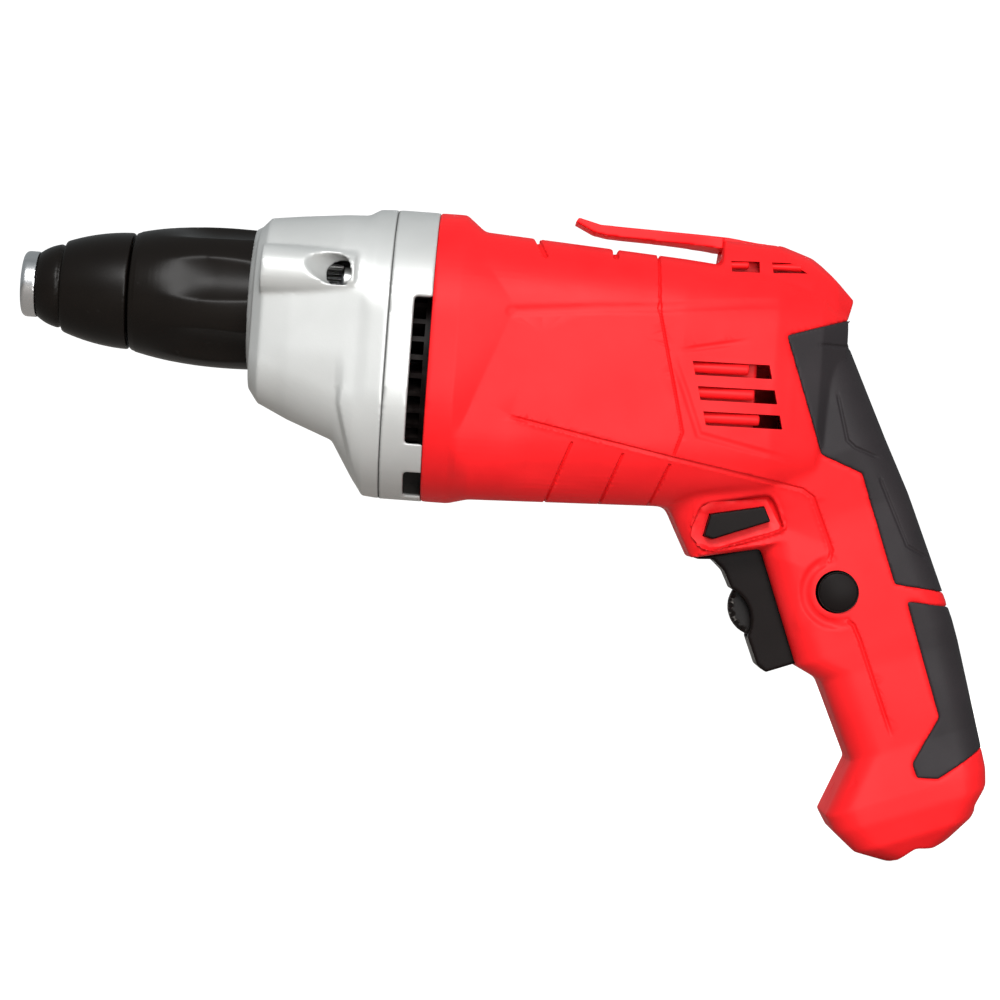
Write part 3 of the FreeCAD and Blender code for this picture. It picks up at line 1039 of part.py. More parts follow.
def slot_cutters():
    cutters = []
    flanks = {"left": ("0 - slot_out_y", "0 - slot_deep_y"), "right": ("slot_deep_y", "slot_out_y")}
    for side, (left, right) in flanks.items():
        for index in range(3):
            front = f"slot_front_x + slot_shift * {index}"
            top = f"slot_top - slot_pitch * {index}"
            low = f"{top} - slot_height"
            cutters.append(plate(f"slot_{side}{index}", [
                (f"{front} + slot_slant", low),
                (front, top),
                (f"{front} + slot_length", top),
                (f"{front} + slot_length + slot_slant", low),
            ], left, right))
    flanks = {"left": ("0 - slot_out_y", "0 - roof_deep_y"), "right": ("roof_deep_y", "slot_out_y")}
    for side, (left, right) in flanks.items():
        cutters.append(plate(f"roof_front_{side}", [
            ("roof_front_x", "roof_low"),
            ("roof_front_x", "roof_top"),
            ("roof_rear_x", "roof_top"),
            ("roof_rear_x", "roof_low"),
        ], left, right))
        cutters.append(plate(f"roof_rear_{side}", [
            ("roof_step_x", "roof_low"),
            ("roof_step_x", "roof_top"),
            ("roof_peak_x", "roof_top"),
            ("roof_end_x", "roof_low + end_gap"),
        ], left, right))
    return cutters


def ribs():
    things = []
    for name, front in (("front_rib", "rib_front_x"), ("back_rib", "rib_back_x")):
        slab = block(name + "_slab", "rib_width", "2 * reach", "2 * reach", (front, "0 - reach", "0 - reach"))
        room = rod(name + "_room", "stator_r + seat_gap", "rib_width + 2 * over", (f"{front} - over", "0",
                                                                                   "motor_z"))
        things.append(cut(name, slab, [room]))
    slab = block("tail_rib_slab", "rib_width", "2 * reach", "reach - tail_rib_low", ("tail_rib_x",
                                                                                     "0 - reach",
                                                                                     "tail_rib_low"))
    room = rod("tail_rib_room", "tail_bearing_r + sleeve_wall + seat_gap", "rib_width + 2 * over",
               ("tail_rib_x - over", "0", "motor_z"))
    things.append(cut("tail_rib", slab, [room]))
    slab = block("brush_rib_slab", "brush_rib_width", "2 * reach", "2 * brush_rib_half",
                 ("brush_rib_x", "0 - reach", "motor_z - brush_rib_half"))
    rooms = brush_box("brush_bed", "holder_length", "holder_height", "0", "holder_outer_y", "seat_gap")
    rooms.append(rod("brush_rib_clear", "brush_rib_clear_r", "brush_rib_width + 2 * over",
                     ("brush_rib_x - over", "0", "motor_z")))
    things.append(cut("brush_rib", slab, rooms))
    slabs = [
        handle_block("switch_rib_slab", "switch_rib_front", "reach", "switch_rib_down",
                     "switch_rib_down + rib_width", "reach"),
        handle_block("switch_low_slab", "switch_rib_front", "reach", "switch_rib_low_down",
                     "switch_rib_low_down + rib_width",
                     "reach"),
    ]
    room = handle_block("switch_room", "switch_front - seat_gap", "switch_back + seat_gap",
                        "switch_top_down - seat_gap",
                        "switch_low_down + seat_gap", "switch_half + seat_gap")
    things.append(cut("switch_ribs", fused("switch_slabs", slabs), [room]))
    slab = handle_block("capacitor_slab", "0 - reach", "reach", "capacitor_rib_down",
                        "capacitor_rib_down + rib_width", "reach")
    room = handle_block("capacitor_room", "capacitor_front - seat_gap", "capacitor_back + seat_gap",
                        "capacitor_down - over",
                        "capacitor_down + capacitor_height + over", "capacitor_half + seat_gap")
    things.append(cut("capacitor_rib", slab, [room]))
    slab = handle_block("inlet_slab", "0 - reach", "reach", "inlet_flange_down - rib_width",
                        "inlet_flange_down + inlet_flange + rib_width", "reach")
    bed = rod("inlet_bed", "inlet_flange_r + seat_gap", "inlet_flange + 2 * seat_gap",
              handle_spot("inlet_across", "inlet_flange_down - seat_gap"), "180 - handle_lean")
    things.append(cut("inlet_rib", slab, [bed]))
    return things


def housing():
    outer = shell("housing_outer", "0")
    layer = shell("grip_layer", "grip_depth")
    inner = shell("housing_inner", "wall")
    bosses = screw_rods("screw_boss", "screw_boss_r", "0 - reach", "reach")
    wells = screw_rods("screw_well_boss", "screw_well_boss_r", "0", "reach")
    bolt_posts = bolts("bolt_post", "bolt_boss_r", "flange_rear_x - over", "bolt_end_x + over",
                       "flange_rear_x - over")
    guards = [
        plate("lever_guard_left", widened(lever_outline, "guard_margin"), "0 - reach", "0 - guard_floor_y"),
        plate("lever_guard_right", widened(lever_outline, "guard_margin"), "guard_floor_y", "reach"),
    ]
    baffles = (("baffle_x + baffle_stagger", "baffle_y"), ("baffle_x", "0 - baffle_y - baffle_width"))
    for index, (front, start) in enumerate(baffles):
        guards.append(block(f"vent_baffle{index}", "baffle_length", "baffle_width", "baffle_height",
                            (front, start, "slot_top + baffle_over - baffle_height")))
    guards.append(plate("heel_wall", widened(heel_outline, "wall"), "0 - reach", "reach"))
    pad = block("hook_pad", "hook_tongue_x - spine_front_x + 2 * over", "2 * pad_half", "reach",
                ("spine_front_x", "0 - pad_half", "pad_bottom"))
    hollow = cut("housing_hollow", inner, ribs() + bosses + wells + bolt_posts + guards + [pad])
    body = cut("housing_shell", outer, [hollow])
    skin = cut("grip_skin", outer, [layer])
    patches = {}
    for name, outline in grip_outlines.items():
        prism = handle_plate(name + "_prism", outline, "0 - reach", "reach")
        patches[name] = common(name + "_patch", [skin, prism])
    tongue = plate("hook_bed", [
        ("spine_front_x - over", "hook_tongue_low - seat_gap"),
        ("spine_front_x - over", "hook_root_top + over"),
        ("hook_tongue_x + seat_gap", "hook_root_top + over"),
        ("hook_tongue_x + seat_gap", "hook_tongue_low - seat_gap"),
    ], "0 - hook_half - seat_gap", "hook_half + seat_gap")
    trigger_room = handle_plate("trigger_room", [
        ("trigger_beak - over", "trigger_beak_down - slide_gap * 3"),
        ("trigger_rear + trigger_travel + slide_gap", "trigger_beak_down - slide_gap * 3"),
        ("trigger_rear + trigger_travel + slide_gap", "trigger_low_down + slide_gap"),
        ("trigger_beak - over", "trigger_low_down + slide_gap"),
    ], "0 - trigger_half - slide_gap", "trigger_half + slide_gap")
    lever_hole = plate("lever_hole", widened(lever_outline, "slide_gap"), "0 - reach", "reach")
    pockets = [
        plate("lever_pocket_left", widened(lever_outline, "pocket_margin"), "0 - reach",
              "0 - pocket_floor_y"),
        plate("lever_pocket_right", widened(lever_outline, "pocket_margin"), "pocket_floor_y", "reach"),
    ]
    x, y, z = handle_spot("button_across", "button_down")
    button_hole = rod("button_hole", "button_r + slide_gap", "reach", (x, "0 - reach", z), "side")
    dish = rod("button_dish", "dish_r", "reach + dish_y", (x, "0 - reach", z), "side")
    holes = screw_rods("screw_hole", "screw_r", "screw_seat_y - screw_length - screw_pilot_end", "reach")
    seats = screw_rods("screw_well", "screw_well_r", "screw_seat_y", "reach")
    bolt_holes = bolts("bolt_hole", "bolt_r + seat_gap", "flange_rear_x - over", "bolt_end_x + over / 2",
                       "flange_rear_x - over")
    inlet = rod("inlet_hole", "inlet_r + seat_gap", "foot_down - inlet_down + 2 * over",
                handle_spot("inlet_across", "inlet_down - over"), "180 - handle_lean")
    tools = [patches["upper_grip"], patches["lower_grip"], tongue, trigger_room, lever_hole, button_hole,
             dish, inlet, plate("heel_cut", heel_outline, "0 - reach", "reach")]
    tools += pockets + holes + seats + bolt_holes + slot_cutters()
    finished = cut("housing_body", body, tools)
    sides = {
        "left": block("left_half", "6 * reach", "reach", "4 * reach", ("0", "0 - reach", "0 - 3 * reach")),
        "right": block("right_half", "6 * reach", "reach", "4 * reach", ("0", "0", "0 - 3 * reach")),
    }
    for side, half in sides.items():
        keep(f"housing_{side}", common(f"housing_{side}", [finished, half]))
        for name, patch in patches.items():
            keep(f"{name}_{side}", common(f"{name}_{side}", [patch, half]))
    keep("belt_hook", plate("belt_hook", hook_outline, "0 - hook_half", "hook_half"))
    heads = screw_rods("screw_head_solid", "screw_head_r", "screw_seat_y", "screw_seat_y + screw_head")
    shanks = screw_rods("screw_shank", "screw_r - seat_gap", "screw_seat_y - screw_length",
                        "screw_seat_y + seat_gap")
    keep("housing_screws", fused("housing_screws", heads + shanks))


def controls():
    low = "trigger_low_down"
    blank = handle_plate("trigger_blank", [
        ("trigger_front", "trigger_front_down"),
        ("trigger_brow", "trigger_brow_down"),
        ("trigger_throat", "trigger_throat_down"),
        ("trigger_beak", "trigger_beak_down"),
        ("trigger_rear", "trigger_top_down"),
        ("trigger_rear", low),
        ("trigger_low", low),
        ("trigger_chin", "trigger_chin_down"),
    ], "0 - trigger_half", "trigger_half")
    stem = handle_block("trigger_stem", "trigger_rear - over", "stem_end", "stem_down - stem_height / 2",
                        "stem_down + stem_height / 2", "stem_half")
    spot = handle_spot("wheel_across", "wheel_down", "0 - wheel_half - end_gap")
    slot = rod("wheel_room", "wheel_r + end_gap * 2", "2 * wheel_half + 2 * end_gap", spot, "side")
    scoop = rod("wheel_scoop", "scoop_r", "2 * reach",
                handle_spot("scoop_across", "wheel_down", "0 - reach"), "side")
    pin_hole = rod("pin_hole", "pin_r", "2 * pin_half",
                   handle_spot("wheel_across", "wheel_down", "0 - pin_half"), "side")
    keep("trigger", cut("trigger", fused("trigger_solid", [blank, stem]), [slot, scoop, pin_hole]))
    keep("wheel_pin", rod("wheel_pin", "pin_r - seat_gap", "2 * pin_half - 2 * seat_gap",
                          handle_spot("wheel_across", "wheel_down", "seat_gap - pin_half"), "side"))
    disc = rod("wheel_disc", "wheel_r", "2 * wheel_half",
               handle_spot("wheel_across", "wheel_down", "0 - wheel_half"), "side")
    notches = []
    count = int(number("wheel_notches"))
    for index in range(count):
        angle = 360 / count * index
        place = handle_spot(f"wheel_across + wheel_r * cos({angle})",
                            f"wheel_down + wheel_r * sin({angle})", "0 - wheel_half - over")
        notches.append(rod(f"wheel_notch{index}", "wheel_notch_r", "2 * wheel_half + 2 * over", place,
                           "side"))
    bore = rod("wheel_bore", "pin_r + run_gap", "2 * wheel_half + 2 * over",
               handle_spot("wheel_across", "wheel_down", "0 - wheel_half - over"), "side")
    keep("speed_wheel", cut("speed_wheel", disc, notches + [bore]))
    box = handle_block("switch_box", "switch_front", "switch_back", "switch_top_down", "switch_low_down",
                       "switch_half")
    guide = handle_block("switch_guide", "switch_front - over", "stem_end + trigger_travel + slide_gap",
                         "stem_down - stem_height / 2 - slide_gap", "stem_down + stem_height / 2 + slide_gap",
                         "stem_half + slide_gap")
    bed = rod("trigger_coil_bed", "trigger_spring_r + end_gap", "trigger_spring_bed + over",
              handle_spot("switch_front - over", "trigger_spring_down"), "90 - handle_lean")
    keep("switch_body", cut("switch_body", box, [guide, bed]))
    room = "switch_front + trigger_spring_bed - trigger_rear"
    coil = rod("trigger_coil", "trigger_spring_r", f"{room} - 2 * seat_gap",
               handle_spot("trigger_rear + seat_gap", "trigger_spring_down"), "90 - handle_lean")
    hole = rod("trigger_coil_hole", "trigger_spring_r - trigger_spring_wall", room,
               handle_spot("trigger_rear", "trigger_spring_down"), "90 - handle_lean")
    keep("trigger_spring", cut("trigger_spring", coil, [hole]))
    x, y, z = handle_spot("button_across", "button_down")
    button = rod("button_solid", "button_r", "button_end_y - button_face_y", (x, "button_face_y", z), "side")
    collar = rod("button_collar_solid", "button_collar_r", "button_collar", (x, "button_collar_y", z), "side")
    keep("lock_button", fused("lock_button", [button, collar]))
    lock_length = "0 - switch_half - button_end_y - 2 * seat_gap"
    coil = rod("lock_coil", "lock_spring_r", lock_length, (x, "button_end_y + seat_gap", z), "side")
    hole = rod("lock_coil_hole", "lock_spring_r - lock_spring_wall", "reach", (x, "button_end_y - over", z),
               "side")
    keep("lock_spring", cut("lock_spring", coil, [hole]))
    keep("direction_lever", plate("direction_lever", lever_outline, "lever_left_y", "lever_right_y"))
    keep("capacitor", handle_block("capacitor", "capacitor_front", "capacitor_back", "capacitor_down",
                                   "capacitor_down + capacitor_height", "capacitor_half"))
    tube = rod("inlet_tube", "inlet_r", "inlet_end_down - inlet_down",
               handle_spot("inlet_across", "inlet_down"), "180 - handle_lean")
    rim = rod("inlet_rim", "inlet_flange_r", "inlet_flange",
              handle_spot("inlet_across", "inlet_flange_down"), "180 - handle_lean")
    bore = rod("inlet_bore", "inlet_bore_r", "inlet_end_down - inlet_down + 2 * over",
               handle_spot("inlet_across", "inlet_down - over"), "180 - handle_lean")
    keep("cord_inlet", cut("cord_inlet", fused("inlet_solid", [tube, rim]), [bore]))


nose()
depth_stop()
bit_drive()
clutch()
gearbox()
flange()
armature()
stator()
brushes()
housing()
controls()
doc.recompute()

broken = [thing.Label for thing in doc.Objects if "Invalid" in thing.State or "Error" in thing.State]
if broken:
    raise RuntimeError("did not rebuild: " + ", ".join(broken))

for name, thing in nodes.items():
    shape = thing.Shape
    if shape.isNull() or not shape.isValid() or not shape.Solids:
        raise RuntimeError(f"{name} is not a valid solid")
    shape.exportStep(f"parts/{name}.step")
    print(name, len(shape.Solids), "solids", round(shape.Volume), "mm3")
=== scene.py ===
import bpy
import json
import math
import numpy as np
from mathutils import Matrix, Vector


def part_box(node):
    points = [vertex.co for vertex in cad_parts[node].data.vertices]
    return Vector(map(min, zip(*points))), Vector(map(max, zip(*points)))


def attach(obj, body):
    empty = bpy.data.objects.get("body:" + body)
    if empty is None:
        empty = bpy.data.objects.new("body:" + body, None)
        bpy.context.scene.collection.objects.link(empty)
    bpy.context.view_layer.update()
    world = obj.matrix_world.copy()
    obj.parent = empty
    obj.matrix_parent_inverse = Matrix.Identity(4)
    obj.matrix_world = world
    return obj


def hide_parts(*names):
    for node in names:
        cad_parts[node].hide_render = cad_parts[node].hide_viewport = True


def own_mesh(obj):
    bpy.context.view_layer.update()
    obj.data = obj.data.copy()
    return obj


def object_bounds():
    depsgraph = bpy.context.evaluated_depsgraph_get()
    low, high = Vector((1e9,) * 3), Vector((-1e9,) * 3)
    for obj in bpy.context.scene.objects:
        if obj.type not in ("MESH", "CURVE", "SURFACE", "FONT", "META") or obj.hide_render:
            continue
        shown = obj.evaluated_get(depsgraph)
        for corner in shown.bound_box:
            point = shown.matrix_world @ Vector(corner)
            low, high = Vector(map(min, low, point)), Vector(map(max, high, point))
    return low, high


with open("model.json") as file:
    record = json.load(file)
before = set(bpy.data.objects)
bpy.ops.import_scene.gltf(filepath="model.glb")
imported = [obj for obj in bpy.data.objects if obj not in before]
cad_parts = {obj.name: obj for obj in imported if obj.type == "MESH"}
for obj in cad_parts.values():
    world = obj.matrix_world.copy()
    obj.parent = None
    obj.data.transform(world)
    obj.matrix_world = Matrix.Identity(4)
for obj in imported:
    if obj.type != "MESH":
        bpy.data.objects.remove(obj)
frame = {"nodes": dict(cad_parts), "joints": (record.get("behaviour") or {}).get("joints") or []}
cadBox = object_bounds()
mm = 0.001
creaseAngle = 40
nodes = frame["nodes"]
print("frame loaded:", len(nodes), "nodes")


# ways of working that every piece shares

def pick(piece):
    bpy.ops.object.select_all(action="DESELECT")
    piece.select_set(True)
    bpy.context.view_layer.objects.active = piece
    return piece


def editing(piece):
    pick(piece)
    bpy.context.tool_settings.mesh_select_mode = (False, False, True)
    bpy.ops.object.mode_set(mode="EDIT")


def rest():
    bpy.ops.object.mode_set(mode="OBJECT")


def applied(piece, kind, **settings):
    pick(piece)
    step = piece.modifiers.new("step", kind)
    for name, value in settings.items():
        setattr(step, name, value)
    bpy.ops.object.modifier_apply(modifier=step.name)
    return piece


def merged(piece, gap=0.002):
    editing(piece)
    bpy.ops.mesh.select_all(action="SELECT")
    bpy.ops.mesh.remove_doubles(threshold=gap * mm)
    rest()
    return piece


def nodeCopy(node, name):
    piece = bpy.data.objects.new(name, nodes[node].data.copy())
    bpy.context.collection.objects.link(piece)
    piece.data.materials.clear()
    return merged(piece)


def rowsOf(items, key):
    values = np.empty(len(items) * 3)
    items.foreach_get(key, values)
    return values.reshape(-1, 3)


def vertexPlaces(piece):
    # where the points are, in mm, and the way each faces
    return rowsOf(piece.data.vertices, "co") / mm, rowsOf(piece.data.vertex_normals, "vector")


def facePlaces(piece):
    return rowsOf(piece.data.polygons, "center") / mm, rowsOf(piece.data.polygons, "normal")


def chooseFaces(piece, mask):
    mesh = piece.data
    mesh.vertices.foreach_set("select", np.zeros(len(mesh.vertices), bool))
    mesh.edges.foreach_set("select", np.zeros(len(mesh.edges), bool))
    mesh.polygons.foreach_set("select", mask)


def fromPath(spots, path):
    # distance in the side view, in mm, from a line of (x, z) points
    flat = spots[:, [0, 2]]
    best = np.full(len(flat), 1e6)
    for start, stop in zip(path, path[1:]):
        start = np.array(start, float)
        run = np.array(stop, float) - start
        share = np.clip(((flat - start) @ run) / (run @ run), 0, 1)
        best = np.minimum(best, np.linalg.norm(flat - start - share[:, None] * run, axis=1))
    return best


def ramp(values, low, high):
    return np.clip((values - low) / (high - low), 0, 1)


def eased(values, low, high):
    share = ramp(values, low, high)
    return share * share * (3 - 2 * share)


# the grip's middle line, and the barrel's, in mm and degrees
handle = {
    "x": 250.0, "z": -40.0, "lean": 21.0, "core": -5.0, "barrelCore": -13.0, "gripFrom": 14.0, "rearX": 247.0,
    "rearFrom": -30.0, "sideGain": 1.4,
}
leanCos = math.cos(math.radians(handle["lean"]))
leanSin = math.sin(math.radians(handle["lean"]))


def acrossDown(spots):
    x = spots[:, 0] - handle["x"]
    z = spots[:, 2] - handle["z"]
    return x * leanCos + z * leanSin, x * leanSin - z * leanCos


def outwards(spots, ways):
    # how far a surface faces away from the barrel's or the grip's own middle line
    across, down = acrossDown(spots)
    onGrip = (down > handle["gripFrom"]) | ((spots[:, 0] > handle["rearX"]) & (down > handle["rearFrom"]))
    barrel = np.stack([np.zeros(len(spots)), spots[:, 1], spots[:, 2] - handle["barrelCore"]], 1)
    off = across - handle["core"]
    grip = np.stack([off * leanCos, spots[:, 1] * handle["sideGain"], off * leanSin], 1)
    arm = np.where(onGrip[:, None], grip, barrel)
    arm /= np.maximum(np.linalg.norm(arm, axis=1), 1e-6)[:, None]
    return np.einsum("ij,ij->i", arm, ways)


def faced(spots, ways):
    # 1 on outer surfaces, 0 on inner ones
    return ramp(outwards(spots, ways), 0.15, 0.35)


def weighted(piece, weights, least):
    group = piece.vertex_groups.new(name="weights")
    for index in np.nonzero(weights > least)[0]:
        group.add([int(index)], float(weights[index]), "REPLACE")
    return group.name


def press(piece, weights, depth, least=0.004):
    # pushes the weighted points in along their normals by up to depth, in mm
    group = weighted(piece, weights, least)
    applied(piece, "DISPLACE", strength=-depth * mm, mid_level=0.0, direction="NORMAL", vertex_group=group)
    piece.vertex_groups.clear()
    return piece


def softened(piece, weights, rounds, least=0.01):
    # evens out the weighted points
    group = weighted(piece, weights, least)
    applied(piece, "SMOOTH", factor=0.5, iterations=rounds, vertex_group=group)
    piece.vertex_groups.clear()
    return piece


def refine(piece, paths, band, cuts):
    spots, ways = facePlaces(piece)
    near = np.zeros(len(spots), bool)
    for path in paths:
        near |= fromPath(spots, path) < band
    chooseFaces(piece, near & (outwards(spots, ways) > 0.1))
    editing(piece)
    bpy.ops.mesh.subdivide(number_cuts=cuts)
    rest()
    return piece


def groove(piece, path, width, depth, fade=(0.0, 0.0), sideOnly=False):
    # fade is the length over which the groove runs out at its start and its end
    spots, ways = vertexPlaces(piece)
    gap = fromPath(spots, path) / (width / 2)
    weights = np.clip(1 - gap * gap, 0, 1) * faced(spots, ways)
    if sideOnly:
        weights *= ramp(np.abs(ways[:, 1]), 0.55, 0.8)
    for end, length in zip((path[0], path[-1]), fade):
        if length:
            weights *= ramp(np.hypot(spots[:, 0] - end[0], spots[:, 2] - end[1]), 0.0, length)
    return press(piece, weights, depth)


skinFit = {"rays": 18, "rayStart": 0.1, "scale": 20.0, "order": 4, "slacks": (3.0, 1.5, 0.8, 0.4, 0.25, 0.2),
           "grid": 30}


def sideHit(piece, side, x, z):
    # where a level ray from outside meets a piece, at (x, z) in mm
    return piece.ray_cast((x * mm, side * skinFit["rayStart"], z * mm), (0, -side, 0))


def sideHeights(piece, side, spanX, spanZ):
    # the smooth outer side of a piece over a patch, found by rays from outside that miss its openings
    spots = []
    bpy.context.view_layer.update()
    for x in np.linspace(*spanX, skinFit["rays"]):
        for z in np.linspace(*spanZ, skinFit["rays"]):
            hit, spot, way, face = sideHit(piece, side, x, z)
            if hit:
                spots.append((x, spot.y / mm, z))
    spots = np.array(spots)
    middle = spots.mean(0)
    order = skinFit["order"]

    def terms(x, z):
        across = (x - middle[0]) / skinFit["scale"]
        up = (z - middle[2]) / skinFit["scale"]
        return np.stack([across ** i * up ** j for i in range(order) for j in range(order - i)], -1)

    kept = np.ones(len(spots), bool)
    for slack in skinFit["slacks"]:
        factors = np.linalg.lstsq(terms(spots[kept, 0], spots[kept, 2]), spots[kept, 1], rcond=None)[0]
        kept = (spots[:, 1] - terms(spots[:, 0], spots[:, 2]) @ factors) * side > -slack
    return lambda x, z: terms(np.asarray(x, float), np.asarray(z, float)) @ factors


def plug(side, heights, spanX, spanZ, thickness):
    # closes an opening flush with the side around it
    bpy.ops.mesh.primitive_grid_add(x_subdivisions=skinFit["grid"], y_subdivisions=skinFit["grid"], size=1)
    piece = bpy.context.object
    for point in piece.data.vertices:
        x = spanX[0] + (point.co.x + 0.5) * (spanX[1] - spanX[0])
        z = spanZ[0] + (point.co.y + 0.5) * (spanZ[1] - spanZ[0])
        point.co = (x * mm, float(heights(x, z)) * mm, z * mm)
    return applied(piece, "SOLIDIFY", thickness=thickness * mm, offset=side)


def moved(piece, spots):
    piece.data.vertices.foreach_set("co", (spots * mm).ravel())
    piece.data.update()
    return piece


def closedMesh(name, points, faces):
    mesh = bpy.data.meshes.new(name)
    mesh.from_pydata(points, [], faces)
    piece = bpy.data.objects.new(name, mesh)
    bpy.context.collection.objects.link(piece)
    editing(piece)
    bpy.ops.mesh.select_all(action="SELECT")
    bpy.ops.mesh.normals_make_consistent(inside=False)
    rest()
    return piece


def prism(ring, lowY, highY):
    # a block with an outline of (x, z) points in mm
    count = len(ring)
    points = [(x * mm, y * mm, z * mm) for y in (lowY, highY) for x, z in ring]
    faces = [(i, (i + 1) % count, count + (i + 1) % count, count + i) for i in range(count)]
    return closedMesh("prism", points, faces + [tuple(range(count)), tuple(range(count, 2 * count))])


def roundBar(start, stop, height, depth, rounding, sides=28, segments=4):
    # a bar with rounded ends along x, from (x, y, z) to (x, y, z) in mm
    middle = [(a + b) / 2 * mm for a, b in zip(start, stop)]
    bpy.ops.mesh.primitive_cylinder_add(vertices=sides, radius=0.5, depth=1, location=middle,
                                        rotation=(0, math.pi / 2, 0))
    piece = bpy.context.object
    piece.scale = (height * mm, depth * mm, (stop[0] - start[0]) * mm)
    piece.rotation_euler[1] += math.atan2(start[2] - stop[2], stop[0] - start[0])
    settled(piece)
    return applied(piece, "BEVEL", width=rounding * mm, segments=segments, limit_method="ANGLE")


def within(spots, ring):
    # which points lie inside an outline in the side view
    x, z = spots[:, 0], spots[:, 2]
    inside = np.zeros(len(spots), bool)
    for (x0, z0), (x1, z1) in zip(ring, ring[1:] + ring[:1]):
        if z0 != z1:
            inside ^= ((z0 > z) != (z1 > z)) & (x < (x1 - x0) * (z - z0) / (z1 - z0) + x0)
    return inside


def thinned(piece, share, hidden, seenWeight=0.3, pull=0.00001):
    # keeps a share of the faces, dropping points more readily where nothing is seen
    group = piece.vertex_groups.new(name="hidden")
    group.add([int(index) for index in np.nonzero(hidden)[0]], 1.0, "REPLACE")
    group.add([int(index) for index in np.nonzero(~hidden)[0]], seenWeight, "REPLACE")
    applied(piece, "DECIMATE", ratio=share, vertex_group="hidden", vertex_group_factor=pull)
    piece.vertex_groups.clear()
    return piece


# a half reaches past the plane where the halves meet while it is rounded, and is then cut off there, in mm
parting = {"flat": 0.02, "facing": 0.9, "reach": 2.0, "merge": 0.001, "clear": 0.005}


def softCopy(node, name, voxel, rounds, parted=0, fill=None, keep=1.0):
    # a copy of a node with moulded, rounded edges; parted is the side of a half that meets the other at y 0
    piece = nodeCopy(node, name)
    if fill:
        piece = joined(name, [piece, *fill(piece)])
    if parted:
        spots, ways = facePlaces(piece)
        facing = ways[:, 1] * parted < -parting["facing"]
        chooseFaces(piece, (np.abs(spots[:, 1]) < parting["flat"]) & facing)
        editing(piece)
        past = (0, -parted * parting["reach"] * mm, 0)
        bpy.ops.mesh.extrude_region_move(TRANSFORM_OT_translate={"value": past})
        rest()
        merged(piece, parting["merge"])
    applied(piece, "REMESH", mode="VOXEL", voxel_size=voxel * mm, adaptivity=0.0)
    applied(piece, "SMOOTH", factor=0.5, iterations=rounds)
    if keep < 1:
        spots, ways = vertexPlaces(piece)
        thinned(piece, keep, outwards(spots, ways) < 0.0)
    if parted:
        editing(piece)
        bpy.ops.mesh.select_all(action="SELECT")
        bpy.ops.mesh.bisect(plane_co=(0, parted * parting["clear"] * mm, 0), plane_no=(0, -parted, 0),
                            use_fill=True, clear_outer=True)
        rest()
    return piece


def carved(piece, cutter):
    applied(piece, "BOOLEAN", operation="DIFFERENCE", object=cutter, solver="EXACT")
    bpy.data.objects.remove(cutter)
    return piece


def joined(name, parts):
    pick(parts[0])
    for part in parts:
        part.select_set(True)
    if len(parts) > 1:
        bpy.ops.object.join()
    piece = bpy.context.view_layer.objects.active
    piece.name = name
    return piece


def settled(piece):
    # puts the place of a piece into its mesh
    pick(piece)
    bpy.ops.object.transform_apply(location=True, rotation=True, scale=True)
    return piece


def smoothed(piece, angle=None):
    pick(piece)
    if angle is None:
        bpy.ops.object.shade_smooth()
    else:
        bpy.ops.object.shade_smooth_by_angle(angle=math.radians(angle))
    return piece


def triangles(piece):
    return sum(len(face.vertices) - 2 for face in piece.data.polygons)


def placed(piece, body, node, finish):
    piece.data.materials.clear()
    piece.data.materials.append(finish)
    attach(piece, body)
    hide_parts(node)
    return piece


# finishes

def newGroup(name, inputs, outputs):
    group = bpy.data.node_groups.new(name, "ShaderNodeTree")
    for label, value in inputs:
        socket = group.interface.new_socket(name=label, in_out="INPUT", socket_type="NodeSocketFloat")
        socket.default_value = value
    for label in outputs:
        group.interface.new_socket(name=label, in_out="OUTPUT", socket_type="NodeSocketFloat")
    return group, group.nodes.new("NodeGroupInput"), group.nodes.new("NodeGroupOutput")


def add(tree, kind, **settings):
    node = tree.nodes.new(kind)
    for name, value in settings.items():
        setattr(node, name, value)
    return node


def spread(tree, value, lowIn, highIn, lowOut=0.0, highOut=1.0):
    node = add(tree, "ShaderNodeMapRange", clamp=True)
    tree.links.new(value, node.inputs["Value"])
    for label, number in (("From Min", lowIn), ("From Max", highIn), ("To Min", lowOut), ("To Max", highOut)):
        if isinstance(number, (int, float)):
            node.inputs[label].default_value = number
        else:
            tree.links.new(number, node.inputs[label])
    return node.outputs["Result"]


def noise(tree, scale, detail=2.0, roughness=0.5, place=None):
    # a noise over the piece's own space, whose scale is a socket or a number
    tex = add(tree, "ShaderNodeTexNoise")
    tex.inputs["Detail"].default_value = detail
    tex.inputs["Roughness"].default_value = roughness
    if isinstance(scale, float):
        tex.inputs["Scale"].default_value = scale
    else:
        tree.links.new(scale, tex.inputs["Scale"])
    if place is None:
        place = add(tree, "ShaderNodeTexCoord").outputs["Object"]
    tree.links.new(place, tex.inputs["Vector"])
    return tex.outputs["Fac"]


def stretched(tree, scale, turn=(0.0, 0.0, 0.0)):
    node = add(tree, "ShaderNodeMapping")
    node.inputs["Scale"].default_value = scale
    node.inputs["Rotation"].default_value = turn
    tree.links.new(add(tree, "ShaderNodeTexCoord").outputs["Object"], node.inputs["Vector"])
    return node.outputs["Vector"]


